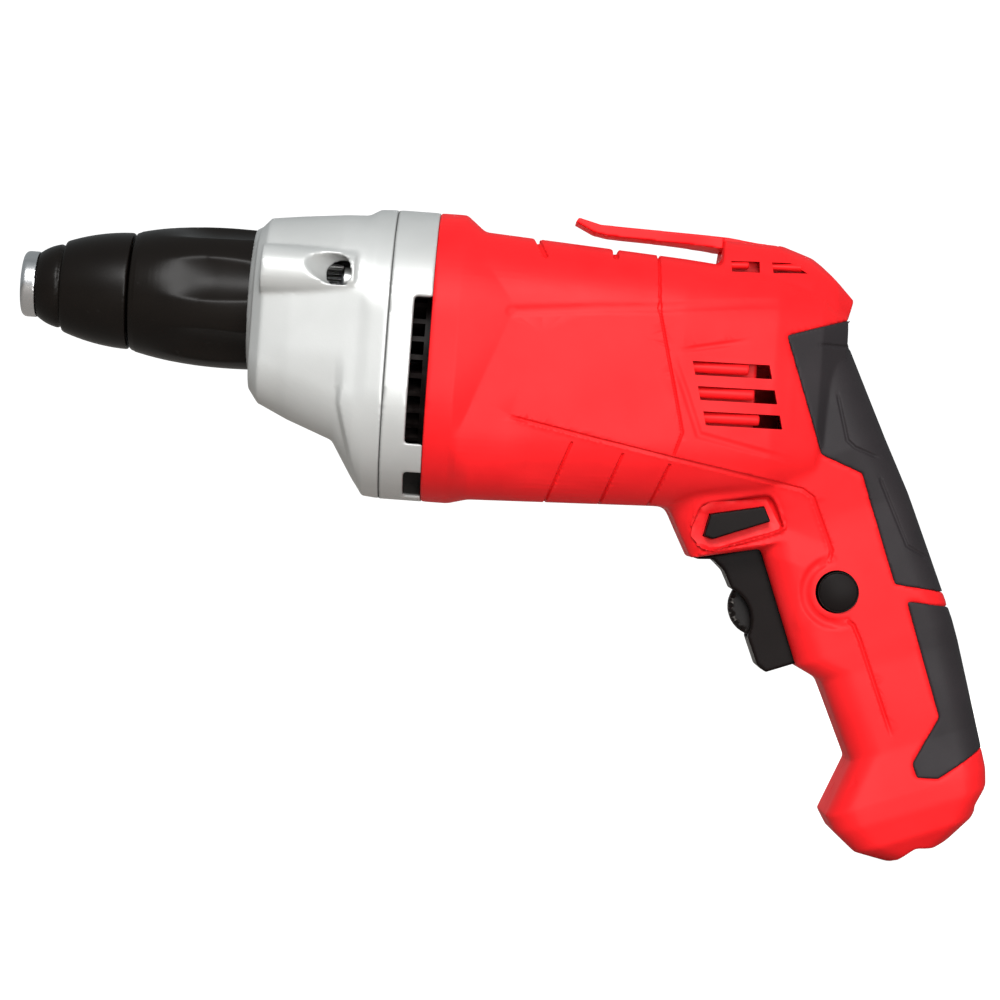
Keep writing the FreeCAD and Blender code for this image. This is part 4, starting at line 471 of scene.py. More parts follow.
def mouldGrainGroup():
    # spark-eroded mould texture: fine pits over a softer unevenness
    group, given, out = newGroup("mouldGrain", [("Scale", 1500.0), ("Softness", 0.4)], ["Height", "Tone"])
    wide = noise(group, 55.0, 4.0)
    mix = add(group, "ShaderNodeMix", data_type="FLOAT")
    group.links.new(given.outputs["Softness"], mix.inputs["Factor"])
    group.links.new(noise(group, given.outputs["Scale"], 3.0), mix.inputs["A"])
    group.links.new(wide, mix.inputs["B"])
    group.links.new(mix.outputs["Result"], out.inputs["Height"])
    group.links.new(spread(group, wide, 0.3, 0.7), out.inputs["Tone"])
    return group


def handlingGroup():
    # slow change of gloss where hands and cloths have been
    group, given, out = newGroup("handling", [("Scale", 22.0), ("Low", 0.3), ("High", 0.5)], ["Roughness"])
    slow = noise(group, given.outputs["Scale"], 6.0, 0.6)
    gloss = spread(group, slow, 0.3, 0.7, given.outputs["Low"], given.outputs["High"])
    group.links.new(gloss, out.inputs["Roughness"])
    return group


def edgeWearAndGlintGroup():
    # rubbed edges, broken up by noise; on the knurled wheel the same mask paints light glints on the crests
    group, given, out = newGroup("edgeWearAndGlint", [("Start", 0.53), ("Full", 0.62), ("Scale", 260.0)], ["Mask"])
    edge = add(group, "ShaderNodeNewGeometry").outputs["Pointiness"]
    times = add(group, "ShaderNodeMath", operation="MULTIPLY")
    group.links.new(spread(group, edge, given.outputs["Start"], given.outputs["Full"]), times.inputs[0])
    group.links.new(spread(group, noise(group, given.outputs["Scale"], 5.0), 0.42, 0.62), times.inputs[1])
    group.links.new(times.outputs["Value"], out.inputs["Mask"])
    return group


def toolMarksGroup():
    # rings left by turning about the spindle axis, and hairline scuffs along it
    group, given, out = newGroup("toolMarks", [("Pitch", 2600.0), ("Scuffs", 90.0)], ["Height", "Scuff"])
    rings = noise(group, given.outputs["Pitch"], place=stretched(group, (1.0, 0.02, 0.02)))
    along = stretched(group, (0.22, 1.0, 1.0), (0.3, 0.5, 0.4))
    scuff = noise(group, given.outputs["Scuffs"], 8.0, place=along)
    group.links.new(rings, out.inputs["Height"])
    group.links.new(spread(group, scuff, 0.62, 0.7), out.inputs["Scuff"])
    return group


effects = {
    "mouldGrain": mouldGrainGroup(),
    "handling": handlingGroup(),
    "edgeWearAndGlint": edgeWearAndGlintGroup(),
    "toolMarks": toolMarksGroup(),
}


def effect(tree, name, **values):
    node = add(tree, "ShaderNodeGroup", node_tree=effects[name])
    for label, value in values.items():
        node.inputs[label].default_value = value
    return node


def blendColour(tree, mask, first, second):
    node = add(tree, "ShaderNodeMix", data_type="RGBA")
    tree.links.new(mask, node.inputs["Factor"])
    for socket, colour in ((node.inputs[6], first), (node.inputs[7], second)):
        if isinstance(colour, tuple):
            socket.default_value = (*colour, 1.0)
        else:
            tree.links.new(colour, socket)
    return node.outputs[2]


def finish(name, look):
    material = bpy.data.materials.new(name)
    material.use_nodes = True
    tree = material.node_tree
    shader = tree.nodes["Principled BSDF"]
    grain = effect(tree, "mouldGrain", Scale=look["grain"], Softness=0.3)
    colour = blendColour(tree, grain.outputs["Tone"], look["colour"], look["shade"])
    # rubbed edges, and on the knurled wheel painted glints on the crests
    if "wearAndGlint" in look:
        rubbedAndGlint, start, full = look["wearAndGlint"]
        wornAndGlint = effect(tree, "edgeWearAndGlint", Start=start, Full=full)
        colour = blendColour(tree, wornAndGlint.outputs["Mask"], colour, rubbedAndGlint)
    # painted shade deep inside the castings, and their dark joint line, darken the colour here
    if "shadeAndSeam" in look:
        shadeAndSeamMask = add(tree, "ShaderNodeAttribute", attribute_name="shadeAndSeam")
        colour = blendColour(tree, shadeAndSeamMask.outputs["Fac"], colour, look["shadeAndSeam"])
    height = grain.outputs["Height"]
    if "pitch" in look:
        marks = effect(tree, "toolMarks", Pitch=look["pitch"])
        colour = blendColour(tree, marks.outputs["Scuff"], colour, look["scuff"])
        height = marks.outputs["Height"]
    tree.links.new(colour, shader.inputs["Base Color"])
    touch = effect(tree, "handling", Scale=22.0, Low=look["gloss"][0], High=look["gloss"][1])
    gloss = touch.outputs["Roughness"]
    # roughness rises and metal falls where shade is painted inside the castings
    if "shadeAndSeam" in look:
        dull = add(tree, "ShaderNodeMath", operation="MAXIMUM")
        tree.links.new(gloss, dull.inputs[0])
        tree.links.new(shadeAndSeamMask.outputs["Fac"], dull.inputs[1])
        gloss = dull.outputs["Value"]
        metal = spread(tree, shadeAndSeamMask.outputs["Fac"], 0.0, 1.0, look["metal"], 0.0)
        tree.links.new(metal, shader.inputs["Metallic"])
    tree.links.new(gloss, shader.inputs["Roughness"])
    bump = add(tree, "ShaderNodeBump")
    bump.inputs["Strength"].default_value = look["bump"][0]
    bump.inputs["Distance"].default_value = look["bump"][1] * mm
    tree.links.new(height, bump.inputs["Height"])
    tree.links.new(bump.outputs["Normal"], shader.inputs["Normal"])
    shader.inputs["Metallic"].default_value = look.get("metal", 0.0)
    shader.inputs["Specular IOR Level"].default_value = look.get("specular", 0.5)
    return material


finishes = {
    # the edge entry holds the rubbed colour, which on the knurled wheel is a painted glint, and where it
    # starts and is full; bump is its strength and its depth in mm
    "redShell": {"colour": (0.80, 0.014, 0.017), "shade": (0.74, 0.010, 0.013), "grain": 2600.0,
        "bump": (0.25, 0.05), "gloss": (0.44, 0.54), "wearAndGlint": ((0.88, 0.06, 0.06), 0.56, 0.72),
        "specular": 0.14},
    "noseNylon": {"colour": (0.0066, 0.0050, 0.0040), "shade": (0.0050, 0.0038, 0.0031), "grain": 1900.0,
        "bump": (0.3, 0.05), "gloss": (0.29, 0.39), "wearAndGlint": ((0.012, 0.0105, 0.0095), 0.56, 0.72),
        "specular": 0.13},
    "switchPlastic": {"colour": (0.0068, 0.0046, 0.0043), "shade": (0.0052, 0.0036, 0.0034), "grain": 2400.0,
        "bump": (0.25, 0.04), "gloss": (0.32, 0.42), "wearAndGlint": ((0.036, 0.031, 0.029), 0.56, 0.72),
        "specular": 0.05},
    # the knurled wheel's pale edge colour is a painted glint on its crests
    "knurlPlastic": {"colour": (0.0085, 0.0065, 0.0060), "shade": (0.0065, 0.0050, 0.0046), "grain": 2400.0,
        "bump": (0.25, 0.04), "gloss": (0.30, 0.40), "wearAndGlint": ((0.34, 0.32, 0.30), 0.512, 0.575),
        "specular": 0.10},
    "gripRubber": {"colour": (0.022, 0.0175, 0.0195), "shade": (0.0165, 0.0135, 0.0150), "grain": 1500.0,
        "bump": (0.45, 0.07), "gloss": (0.55, 0.68), "wearAndGlint": ((0.045, 0.040, 0.044), 0.56, 0.76),
        "specular": 0.25},
    # castAlloy's near-black last colour is painted shade inside the castings, and also their dark joint line
    "castAlloy": {"colour": (0.53, 0.535, 0.525), "shade": (0.49, 0.495, 0.485), "grain": 1700.0,
        "bump": (0.35, 0.05), "gloss": (0.34, 0.44), "wearAndGlint": ((0.62, 0.62, 0.61), 0.54, 0.66), "metal": 0.35,
        "specular": 0.35, "shadeAndSeam": (0.012, 0.011, 0.010)},
    "turnedSteel": {"colour": (0.70, 0.70, 0.70), "shade": (0.63, 0.63, 0.64), "grain": 900.0,
        "bump": (0.3, 0.03), "gloss": (0.20, 0.30), "metal": 1.0, "pitch": 2600.0,
        "scuff": (0.52, 0.52, 0.53)},
    "springSteel": {"colour": (0.46, 0.46, 0.47), "shade": (0.38, 0.38, 0.39), "grain": 1200.0,
        "bump": (0.2, 0.02), "gloss": (0.28, 0.38), "metal": 1.0},
    "screwSteel": {"colour": (0.50, 0.50, 0.49), "shade": (0.42, 0.42, 0.42), "grain": 1500.0,
        "bump": (0.2, 0.02), "gloss": (0.28, 0.42), "metal": 1.0},
    "coreSheets": {"colour": (0.20, 0.20, 0.21), "shade": (0.14, 0.14, 0.15), "grain": 1000.0,
        "bump": (0.5, 0.1), "gloss": (0.45, 0.6), "metal": 0.7, "pitch": 1800.0, "scuff": (0.25, 0.20, 0.17)},
    "copperWire": {"colour": (0.62, 0.25, 0.10), "shade": (0.50, 0.18, 0.07), "grain": 1600.0,
        "bump": (0.6, 0.15), "gloss": (0.28, 0.42), "metal": 0.9},
    "oilBronze": {"colour": (0.52, 0.36, 0.17), "shade": (0.43, 0.29, 0.13), "grain": 1800.0,
        "bump": (0.35, 0.04), "gloss": (0.34, 0.48), "metal": 0.95},
    "brushCarbon": {"colour": (0.05, 0.05, 0.05), "shade": (0.035, 0.035, 0.037), "grain": 2200.0,
        "bump": (0.3, 0.04), "gloss": (0.5, 0.62)},
    "capacitorFilm": {"colour": (0.72, 0.50, 0.06), "shade": (0.66, 0.44, 0.05), "grain": 700.0,
        "bump": (0.15, 0.03), "gloss": (0.22, 0.3)},
}
finishes = {name: finish(name, look) for name, look in finishes.items()}
print("finishes made:", len(finishes))


# red housing halves

housingLook = {
    "voxel": 0.68, "rounds": 6, "mostTriangles": 180000,
    "band": 1.6, "cuts": 1, "lineBand": 0.9, "lineCuts": 2, "line": (0.95, 0.95), "roofLine": (2.0, 0.8),
    "seam": [(191.2, 28.0), (192.5, 4.0), (201.8, -31.5), (199.8, -38.2)],
    "lowSeam": [(198.8, -41.4), (193.0, -56.0)],
    "bellyLines": [[(169.4, -37.0), (162.0, -58.0)], [(184.7, -39.3), (178.4, -57.0)]],
    "roofLines": [[(153.0, 28.0), (157.8, 18.0)], [(178.2, 27.0), (178.8, 19.4)]],
    "crease": [(150.5, -30.6), (177.8, -35.6), (200.4, -39.6), (239.4, -45.7), (242.7, -47.8), (249.5, -63.0),
               (248.9, -66.6)],
    "lowCrease": [(255.7, -83.6), (257.7, -84.8), (259.9, -89.1), (271.7, -117.5)],
    "shoulder": [(149.0, 0.4), (174.8, 3.2), (192.5, 4.6), (218.8, 8.0), (248.2, 10.6)],
    "panelTop": [(199.0, -7.6), (220.0, -3.0)],
    "panelLow": [(197.2, -8.9), (202.1, -20.4), (206.7, -31.9), (219.1, -34.3), (234.0, -37.2)],
    "toeCrease": [(259.4, -124.2), (261.1, -132.0), (252.6, -140.5)],
    # width and depth of each groove, and the lengths over which it runs out
    "grooves": {
        "crease": (1.5, 0.95, (3.0, 2.0)), "lowCrease": (1.4, 0.9, (2.0, 6.0)),
        "shoulder": (3.4, 0.45, (1.0, 40.0)), "panelTop": (2.0, 0.45, (5.0, 8.0)),
        "panelLow": (2.4, 0.4, (9.0, 8.0)), "toeCrease": (2.4, 0.5, (5.0, 3.0)),
    },
    "collar": {
        "end": 133.4, "back": 3.0, "spanX": (127.0, 153.0, 163.0), "spanZ": (-50.0, 18.0), "levels": 35,
        "slopeZ": (-54.0, -36.0, -1.0, 3.0, 13.0, 24.0), "slopeX": (135.0, 136.0, 149.2, 149.4, 141.5, 139.8),
        "facing": (0.35, 0.65), "deep": 2.5, "fadeFront": 4.0, "fadeRear": 3.0, "fadeZ": 8.0,
    },
    "underside": {
        "path": [(246.0, -70.0), (232.0, -66.0), (215.0, -74.0), (194.0, -62.0), (148.0, -64.0)],
        "facing": (1 / 6, 5 / 6), "front": (150.0, 157.0), "down": (30.0, 22.0), "rear": (0.0, 9.0),
        "edge": 1.3, "step": 0.55, "tilt": 1.3, "span": 15.0,
    },
    "button": {
        "centre": (252.0, -75.3), "hole": 6.45, "cut": (-16.0, -26.0), "patch": 17.0, "plug": 11.4,
        "thickness": 1.9, "border": (3.0, 1.0), "rounds": 24, "turn": (0.0, 360.0, 48),
        "hollow": 9.6, "hollowTurn": (104.0, 292.0, 24), "groove": (3.4, 0.9, (4.0, 4.0)),
    },
    "vents": {
        "count": 3, "front": 203.2, "top": -10.2, "length": 23.0, "height": 4.1, "pitch": 7.3, "shift": 2.1,
        "slant": 1.1, "rise": 0.5, "inwards": 8.0, "outwards": 5.0,
        "patch": ((198, 236), (-36, -4)), "plug": ((202, 234), (-30.6, -8.6), 2.6),
        "barShare": 0.74, "barLevel": 0.42, "barLead": 1.2, "barSink": 2.8, "barSize": (3.3, 4.0, 0.7),
    },
    "roofVents": {
        "corners": [[(213.3, 21.1), (221.9, 21.5), (222.1, 18.0), (213.6, 17.7)],
                    [(225.6, 21.6), (231.2, 21.9), (236.6, 19.1), (226.1, 18.2)]],
        "inwards": 7.0, "outwards": 7.0,
        "patch": ((211, 239), (16.6, 22.4)), "plug": ((212.4, 238), (17.0, 22.2), 2.0),
        "barLengths": (5.6, 9.4), "barRise": 0.5, "barLead": 1.0, "barTilt": 0.4, "barSink": 3.2,
        "barSize": (2.4, 4.0, 0.6), "backSink": 4.0, "backDrop": 0.4, "backSpan": (-1.5, 12.0),
        "backSize": (6.0, 2.0, 0.5),
    },
    "pocket": {
        "mouth": [(208.2, -61.8), (208.6, -54.7), (212.4, -52.0), (228.9, -50.0), (232.9, -56.6),
                  (233.0, -59.6), (227.9, -62.1), (211.3, -64.6)],
        "floor": [(210.85, -61.6), (212.2, -55.5), (212.38, -54.78), (228.6, -51.32), (230.8, -55.82),
                  (230.3, -56.02), (224.83, -58.15), (213.75, -62.47)],
        "depth": 18.4, "probe": 1.6, "cover": 0.8, "sink": 0.5, "least": 0.3, "most": 23.0, "foot": 0.1,
        "sleeve": 1.4, "back": 0.6,
        "lip": [(209.5, -53.5), (208.4, -56.0), (208.2, -61.8), (211.3, -64.6)], "lipReach": 3.0,
        "lipRounds": 14, "fold": [(199.0, -52.0), (212.0, -46.8), (232.0, -46.4), (243.0, -50.0)],
        "foldReach": 9.0, "foldRounds": 50,
    },
    "roof": {
        "slot": (211.0, 20.0), "fillet": (2.6, 2.6, 15.0), "sink": 1.2,
        "stepFront": (206.5, 209.0), "stepRear": (219.0, 215.0), "stepZ": (21.6, 23.4), "stepRounds": 10,
        "tail": [(241.1, 22.7), (251.7, 12.4), (250.0, 6.2)], "tailFrom": 236.0, "tailFade": 4.0,
        "well": [(143.2, 22.9), (148.8, 22.9), (148.8, 23.95), (143.2, 24.2)], "wellSpan": (9.0, 16.5),
    },
}


def arc(centre, radius, first, last, steps):
    turns = [math.radians(first + (last - first) * step / steps) for step in range(steps + 1)]
    return [(centre[0] + radius * math.cos(a), centre[1] + radius * math.sin(a)) for a in turns]


def ventCorners(look, row):
    x = look["front"] + look["shift"] * row
    z = look["top"] - look["pitch"] * row
    return [(x, z), (x + look["length"], z + look["rise"]),
            (x + look["length"] + look["slant"], z + look["rise"] - look["height"]),
            (x + look["slant"], z - look["height"])]


def square(centre, reach):
    x, z = centre
    return (x - reach, x + reach), (z - reach, z + reach)


def slotEnd(corner, reach, sink, side):
    # a hollow fillet in the hook slot's lower corner at (x, z), towards the front and upwards
    x, z = corner
    arc = [(x - reach[0] * (1 - math.sin(a)), z + reach[1] * (1 - math.cos(a)))
           for a in np.linspace(0, math.pi / 2, 9)]
    ring = arc + [(x + sink, z + reach[1]), (x + sink, z - sink), (x - reach[0], z - sink)]
    return prism(ring, *sorted((0.0, side * reach[2])))


def pocketLiner(shell, side, look):
    # the slope from the mouth of the lever's pocket down to its floor
    depth = look["depth"]
    rings = [[], [], [], []]
    bpy.context.view_layer.update()
    for mouth, foot in zip(look["mouth"], look["floor"]):
        run = math.hypot(mouth[0] - foot[0], mouth[1] - foot[1])
        wayX, wayZ = (mouth[0] - foot[0]) / run, (mouth[1] - foot[1]) / run
        beside = (mouth[0] + wayX * look["probe"], mouth[1] + wayZ * look["probe"])
        lip = abs(sideHit(shell, side, *beside)[1].y) / mm - look["sink"]
        lip = min(max(lip, depth + look["least"]), look["most"])
        x, z = mouth[0] + wayX * look["cover"], mouth[1] + wayZ * look["cover"]
        corners = ((x, lip, z), (foot[0], depth + look["foot"], foot[1]),
                   (foot[0], depth - look["sleeve"], foot[1]), (x, depth - look["back"], z))
        for ring, (a, b, c) in zip(rings, corners):
            ring.append((a * mm, side * b * mm, c * mm))
    count = len(rings[0])
    faces = []
    for first in range(4):
        second = (first + 1) % 4
        for i in range(count):
            j = (i + 1) % count
            faces.append((first * count + i, first * count + j, second * count + j, second * count + i))
    return closedMesh("liner", sum(rings, []), faces)


def slantedCollar(shell, side, look):
    # the slope from the wide collar down to the side panel, whose lower edge slants
    front, middle, rear = look["spanX"]
    low, high = look["spanZ"]
    levels = np.linspace(low, high, look["levels"])
    bpy.context.view_layer.update()
    collar, near, far = [np.array([sideHit(shell, side, x, z)[1].y / mm for z in levels])
                         for x in (look["end"] - look["back"], middle, rear)]
    spots, ways = vertexPlaces(shell)
    x, z = spots[:, 0], spots[:, 2]
    facing = ways[:, 1] * side
    chosen = (x > front) & (x < middle) & (z > low) & (z < high) & (facing > look["facing"][0])
    chosen &= spots[:, 1] * side > np.interp(z, levels, near * side) - look["deep"]
    panel = np.interp(z, levels, near) + (middle - x) / (rear - middle) * np.interp(z, levels, near - far)
    share = ramp(x, look["end"], np.interp(z, look["slopeZ"], look["slopeX"]))
    target = np.interp(z, levels, collar) * (1 - share) + panel * share
    fade = ramp(z, low, low + look["fadeZ"]) * ramp(z, high, high - look["fadeZ"])
    fade *= ramp(x, middle, middle - look["fadeRear"]) * ramp(x, front, front + look["fadeFront"])
    fade *= ramp(facing, *look["facing"]) * chosen
    spots[:, 1] += (target - spots[:, 1]) * fade
    return moved(shell, spots)


def evenedBorders(shell, side, button, pocket, roof):
    # evens out the button plug's border, the fold over the lever's pocket, its front lip and the hook's step
    spots, ways = vertexPlaces(shell)
    facing = ramp(outwards(spots, ways), 0.0, 0.2)
    if side < 0:
        (x0, x1), (z0, z1) = square(button["centre"], button["plug"])
        border = [(x0, z0), (x1, z0), (x1, z1), (x0, z1), (x0, z0)]
        softened(shell, ramp(fromPath(spots, border), *button["border"]) * facing, button["rounds"])
    fold = ramp(fromPath(spots, pocket["fold"]), pocket["foldReach"], pocket["foldReach"] / 2) * facing
    softened(shell, fold, pocket["foldRounds"])
    lip = ramp(fromPath(spots, pocket["lip"]), pocket["lipReach"], pocket["lipReach"] / 2)
    lip *= ramp(np.abs(spots[:, 1]), pocket["depth"], pocket["depth"] + 1)
    softened(shell, lip, pocket["lipRounds"])
    spots, ways = vertexPlaces(shell)
    step = ramp(spots[:, 0], *roof["stepFront"]) * ramp(spots[:, 0], *roof["stepRear"])
    return softened(shell, step * ramp(spots[:, 2], *roof["stepZ"]), roof["stepRounds"])


def clippedTail(shell, look):
    # two slanting flats at the upper rear corner
    spots, ways = vertexPlaces(shell)
    lowest = look["tail"][-1][1]
    for (x0, z0), (x1, z1) in zip(look["tail"], look["tail"][1:]):
        length = math.hypot(x1 - x0, z1 - z0)
        wayX, wayZ = (z0 - z1) / length, (x1 - x0) / length
        over = np.maximum((spots[:, 0] - x0) * wayX + (spots[:, 2] - z0) * wayZ, 0)
        over *= (spots[:, 0] > look["tailFrom"]) * ramp(spots[:, 2], lowest - look["tailFade"], lowest)
        spots[:, 0] -= over * wayX
        spots[:, 2] -= over * wayZ
    return moved(shell, spots)


def pressedUnderside(shell, look, crease):
    # the step under the barrel, below the long crease
    spots, ways = vertexPlaces(shell)
    across, down = acrossDown(spots)
    flat = ramp(np.abs(ways[:, 1]), *look["facing"]) * faced(spots, ways)
    below = within(spots, crease + look["path"])
    flat *= ramp(spots[:, 0], *look["front"]) * ramp(down, *look["down"]) * below
    flat *= ramp(fromPath(spots, look["path"][:3]), *look["rear"])
    away = fromPath(spots, crease)
    drop = look["step"] * ramp(away, 0.0, look["edge"]) + look["tilt"] * ramp(away, 0.0, look["span"])
    most = look["step"] + look["tilt"]
    return press(shell, flat * drop / most, most)


def ventBars(vents, look, skin, side):
    # a slat in each side vent
    bars = []
    for (x0, z0), (x1, z1), *others in vents:
        run = look["barShare"] * (x1 - x0)
        z = z0 - look["height"] * look["barLevel"]
        near, far = [float(skin(x, z)) - side * look["barSink"] for x in (x0, x0 + run)]
        bars.append(roundBar((x0 - look["barLead"], near, z),
                             (x0 + run, far, z + look["rise"] * look["barShare"]), *look["barSize"]))
    return bars


def roofBars(look, skin, side):
    # a slat in each roof vent, and a wall behind it
    bars = []
    for corners, length in zip(look["corners"], look["barLengths"]):
        x, z = corners[0][0], (corners[0][1] + corners[3][1]) / 2 + look["barRise"]
        deep = float(skin(x + length / 2, z)) - side * look["barSink"]
        bars.append(roundBar((x - look["barLead"], deep, z), (x + length, deep, z + look["barTilt"]),
                             *look["barSize"]))
        back = deep - side * look["backSink"]
        first, last = [(x + off, back, z - look["backDrop"]) for off in look["backSpan"]]
        bars.append(roundBar(first, last, *look["backSize"]))
    return bars


def housingHalf(node, name, side):
    look = housingLook
    button, pocket, roof = look["button"], look["pocket"], look["roof"]
    vents = [ventCorners(look["vents"], row) for row in range(look["vents"]["count"])]
    rings = {"vents": vents, "roofVents": look["roofVents"]["corners"]}
    skins = {}

    def fill(piece):
        # closes the node's own openings, so that crisp ones can be cut after the rounding
        plugs = []
        for label in rings:
            skins[label] = sideHeights(piece, side, *look[label]["patch"])
            plugs.append(plug(side, skins[label], *look[label]["plug"]))
        if side < 0:
            heights = sideHeights(piece, side, *square(button["centre"], button["patch"]))
            plugs.append(plug(side, heights, *square(button["centre"], button["plug"]), button["thickness"]))
        else:
            plugs.append(prism(roof["well"], *roof["wellSpan"]))
        plugs.append(slotEnd(roof["slot"], roof["fillet"], roof["sink"], side))
        return plugs

    shell = softCopy(node, name, look["voxel"], look["rounds"], parted=side, fill=fill)
    cutters = []
    for label, outlines in rings.items():
        inwards, beyond = side * look[label]["inwards"], side * look[label]["outwards"]
        for corners in outlines:
            skin = float(skins[label](*corners[0]))
            cutters.append(prism(corners, skin - inwards, skin + beyond))
    if side < 0:
        cutters.append(prism(arc(button["centre"], button["hole"], *button["turn"])[1:], *button["cut"]))
    carved(shell, joined("cutters", cutters))

    thin = [look["seam"], look["lowSeam"], *look["bellyLines"], *look["roofLines"]]
    wide = [look["panelTop"], look["panelLow"], look["toeCrease"]]
    hollow = arc(button["centre"], button["hollow"], *button["hollowTurn"])
    refine(shell, thin + [look["crease"], look["lowCrease"]], look["lineBand"], look["lineCuts"])
    refine(shell, wide + ([hollow] if side < 0 else []), look["band"], look["cuts"])
    slantedCollar(shell, side, look["collar"])
    evenedBorders(shell, side, button, pocket, roof)
    clippedTail(shell, roof)
    pressedUnderside(shell, look["underside"], look["crease"])
    for path in thin:
        groove(shell, path, *look["line"])
    for path in look["roofLines"]:
        groove(shell, path, *look["roofLine"])
    for label, values in look["grooves"].items():
        groove(shell, look[label], *values, sideOnly=label == "toeCrease")
    if side < 0:
        groove(shell, hollow, *button["groove"])
    spots, ways = vertexPlaces(shell)
    thinned(shell, look["mostTriangles"] / triangles(shell), outwards(spots, ways) < 0.0)
    bars = ventBars(vents, look["vents"], skins["vents"], side)
    bars += roofBars(look["roofVents"], skins["roofVents"], side)
    shell = joined(name, [shell, *bars, pocketLiner(shell, side, pocket)])
    print(name, "triangles", triangles(shell))
    return placed(smoothed(shell, creaseAngle), "housing", node, finishes["redShell"])


housingHalf("housing_left", "housingLeftShell", -1)
housingHalf("housing_right", "housingRightShell", 1)
print("housing halves done")


# rubber grips

gripLook = {
    "voxel": 0.45, "rounds": 5, "band": 0.9, "cuts": 1,
    "upperCreases": [[(247.6, -16.0), (251.5, -30.0), (254.0, -32.0), (262.0, -34.6)],
                     [(262.0, -40.0), (266.0, -48.0), (272.0, -60.0), (279.0, -63.4)]],
    "ledge": [(241.0, -2.4), (252.0, -2.0)], "groove": (1.3, 0.45, (2.0, 2.0)),
}


def gripPatch(node, name, side, creases):
    look = gripLook
    patch = softCopy(node, name, look["voxel"], look["rounds"], parted=side)
    if creases:
        refine(patch, creases, look["band"], look["cuts"])
        for path in creases:
            groove(patch, path, *look["groove"])
    print(name, "faces", len(patch.data.polygons))
    return placed(smoothed(patch), "housing", node, finishes["gripRubber"])


for side, word in ((-1, "Left"), (1, "Right")):
    gripPatch("upper_grip_" + word.lower(), "upperGrip" + word, side,
              gripLook["upperCreases"] + [gripLook["ledge"]])
    gripPatch("lower_grip_" + word.lower(), "lowerGrip" + word, side, [])
print("grips done")


# cast casing and flange

castLook = {
    "casingVoxel": 0.6, "casingRounds": 4, "casingKeep": 0.7, "flangeVoxel": 0.5, "flangeRounds": 4,
    "neck": (21.0, 24.5), "frontBack": 2.0, "frontX": (84.0, 74.0),
    "chinZ": (30.5, 52.3), "chinX": (100.4, 106.2), "chinIn": 2.8, "chinDown": (-14.0, -42.0),
    "chinEdge": (0.0, 1.2), "chinFront": (74.0, 82.0), "chinSide": (14.0, 26.0),
    # half, top, bottom and turn outline the outer wall; sunk, deep and the start beyond the joint set where
    # shade is painted inside; seamHalf and seamTone set the dark joint line
    "half": 39.0, "top": 30.0, "bottom": -57.5, "turn": 33.0, "joint": 113.0, "seamHalf": 0.5,
    "seamTone": 0.85, "sunk": (2.0, 3.0), "sunkFrom": (0.5, 1.0), "deep": (2.2, 3.4), "paintedShadeFrom": 1.0,
}
casing = softCopy("gearbox_casing", "gearCasing", castLook["casingVoxel"], castLook["casingRounds"],
                  keep=castLook["casingKeep"])
spots, ways = vertexPlaces(casing)
rim = eased(np.hypot(spots[:, 1], spots[:, 2]), *castLook["neck"])
spots[:, 0] += castLook["frontBack"] * ramp(spots[:, 0], *castLook["frontX"]) * rim
edge = np.interp(-spots[:, 2], castLook["chinZ"], castLook["chinX"])
chin = eased(spots[:, 2], *castLook["chinDown"]) * ramp(edge - spots[:, 0], *castLook["chinEdge"])
chin *= eased(spots[:, 0], *castLook["chinFront"]) * eased(np.abs(spots[:, 1]), *castLook["chinSide"])
spots[:, 1] -= np.sign(spots[:, 1]) * castLook["chinIn"] * chin
moved(casing, spots)
placed(smoothed(casing), "housing", "gearbox_casing", finishes["castAlloy"])
flange = softCopy("bearing_flange", "motorFlange", castLook["flangeVoxel"], castLook["flangeRounds"])
placed(smoothed(flange), "housing", "bearing_flange", finishes["castAlloy"])


def paintedShadeAndSeam(piece, look):
    # paints shade on what lies deeper in than the outer wall, and a dark joint line at the seam between
    # casing and flange
    spots, ways = vertexPlaces(piece)
    half, top, bottom, turn = look["half"], look["top"], look["bottom"], look["turn"]
    across = np.abs(spots[:, 1]) - (half - turn)
    up = np.abs(spots[:, 2] - (top + bottom) / 2) - ((top - bottom) / 2 - turn)
    outside = np.hypot(np.maximum(across, 0), np.maximum(up, 0))
    outside += np.minimum(np.maximum(across, up), 0) - turn
    shadeAndSeamMask = piece.data.attributes.new("shadeAndSeam", "FLOAT", "POINT")
    edge = half - turn + np.sqrt(np.maximum(turn ** 2 - np.maximum(up, 0) ** 2, 0))
    sunk = ramp(edge - np.abs(spots[:, 1]), *look["sunk"]) * ramp(-outside, *look["sunkFrom"])
    deep = np.maximum(ramp(-outside, *look["deep"]), sunk)
    seam = look["seamTone"] * np.clip(1 - np.abs(spots[:, 0] - look["joint"]) / look["seamHalf"], 0, 1)
    shadeAndSeamMask.data.foreach_set("value", np.maximum(deep * (spots[:, 0] > look["joint"] + look["paintedShadeFrom"]), seam))
    return piece


# painted shade inside both castings, and their dark joint line
paintedShadeAndSeam(casing, castLook)
paintedShadeAndSeam(flange, castLook)
print("castings done", triangles(casing), triangles(flange))


# belt hook, trigger, lever, gland, lock button, speed wheel and nose

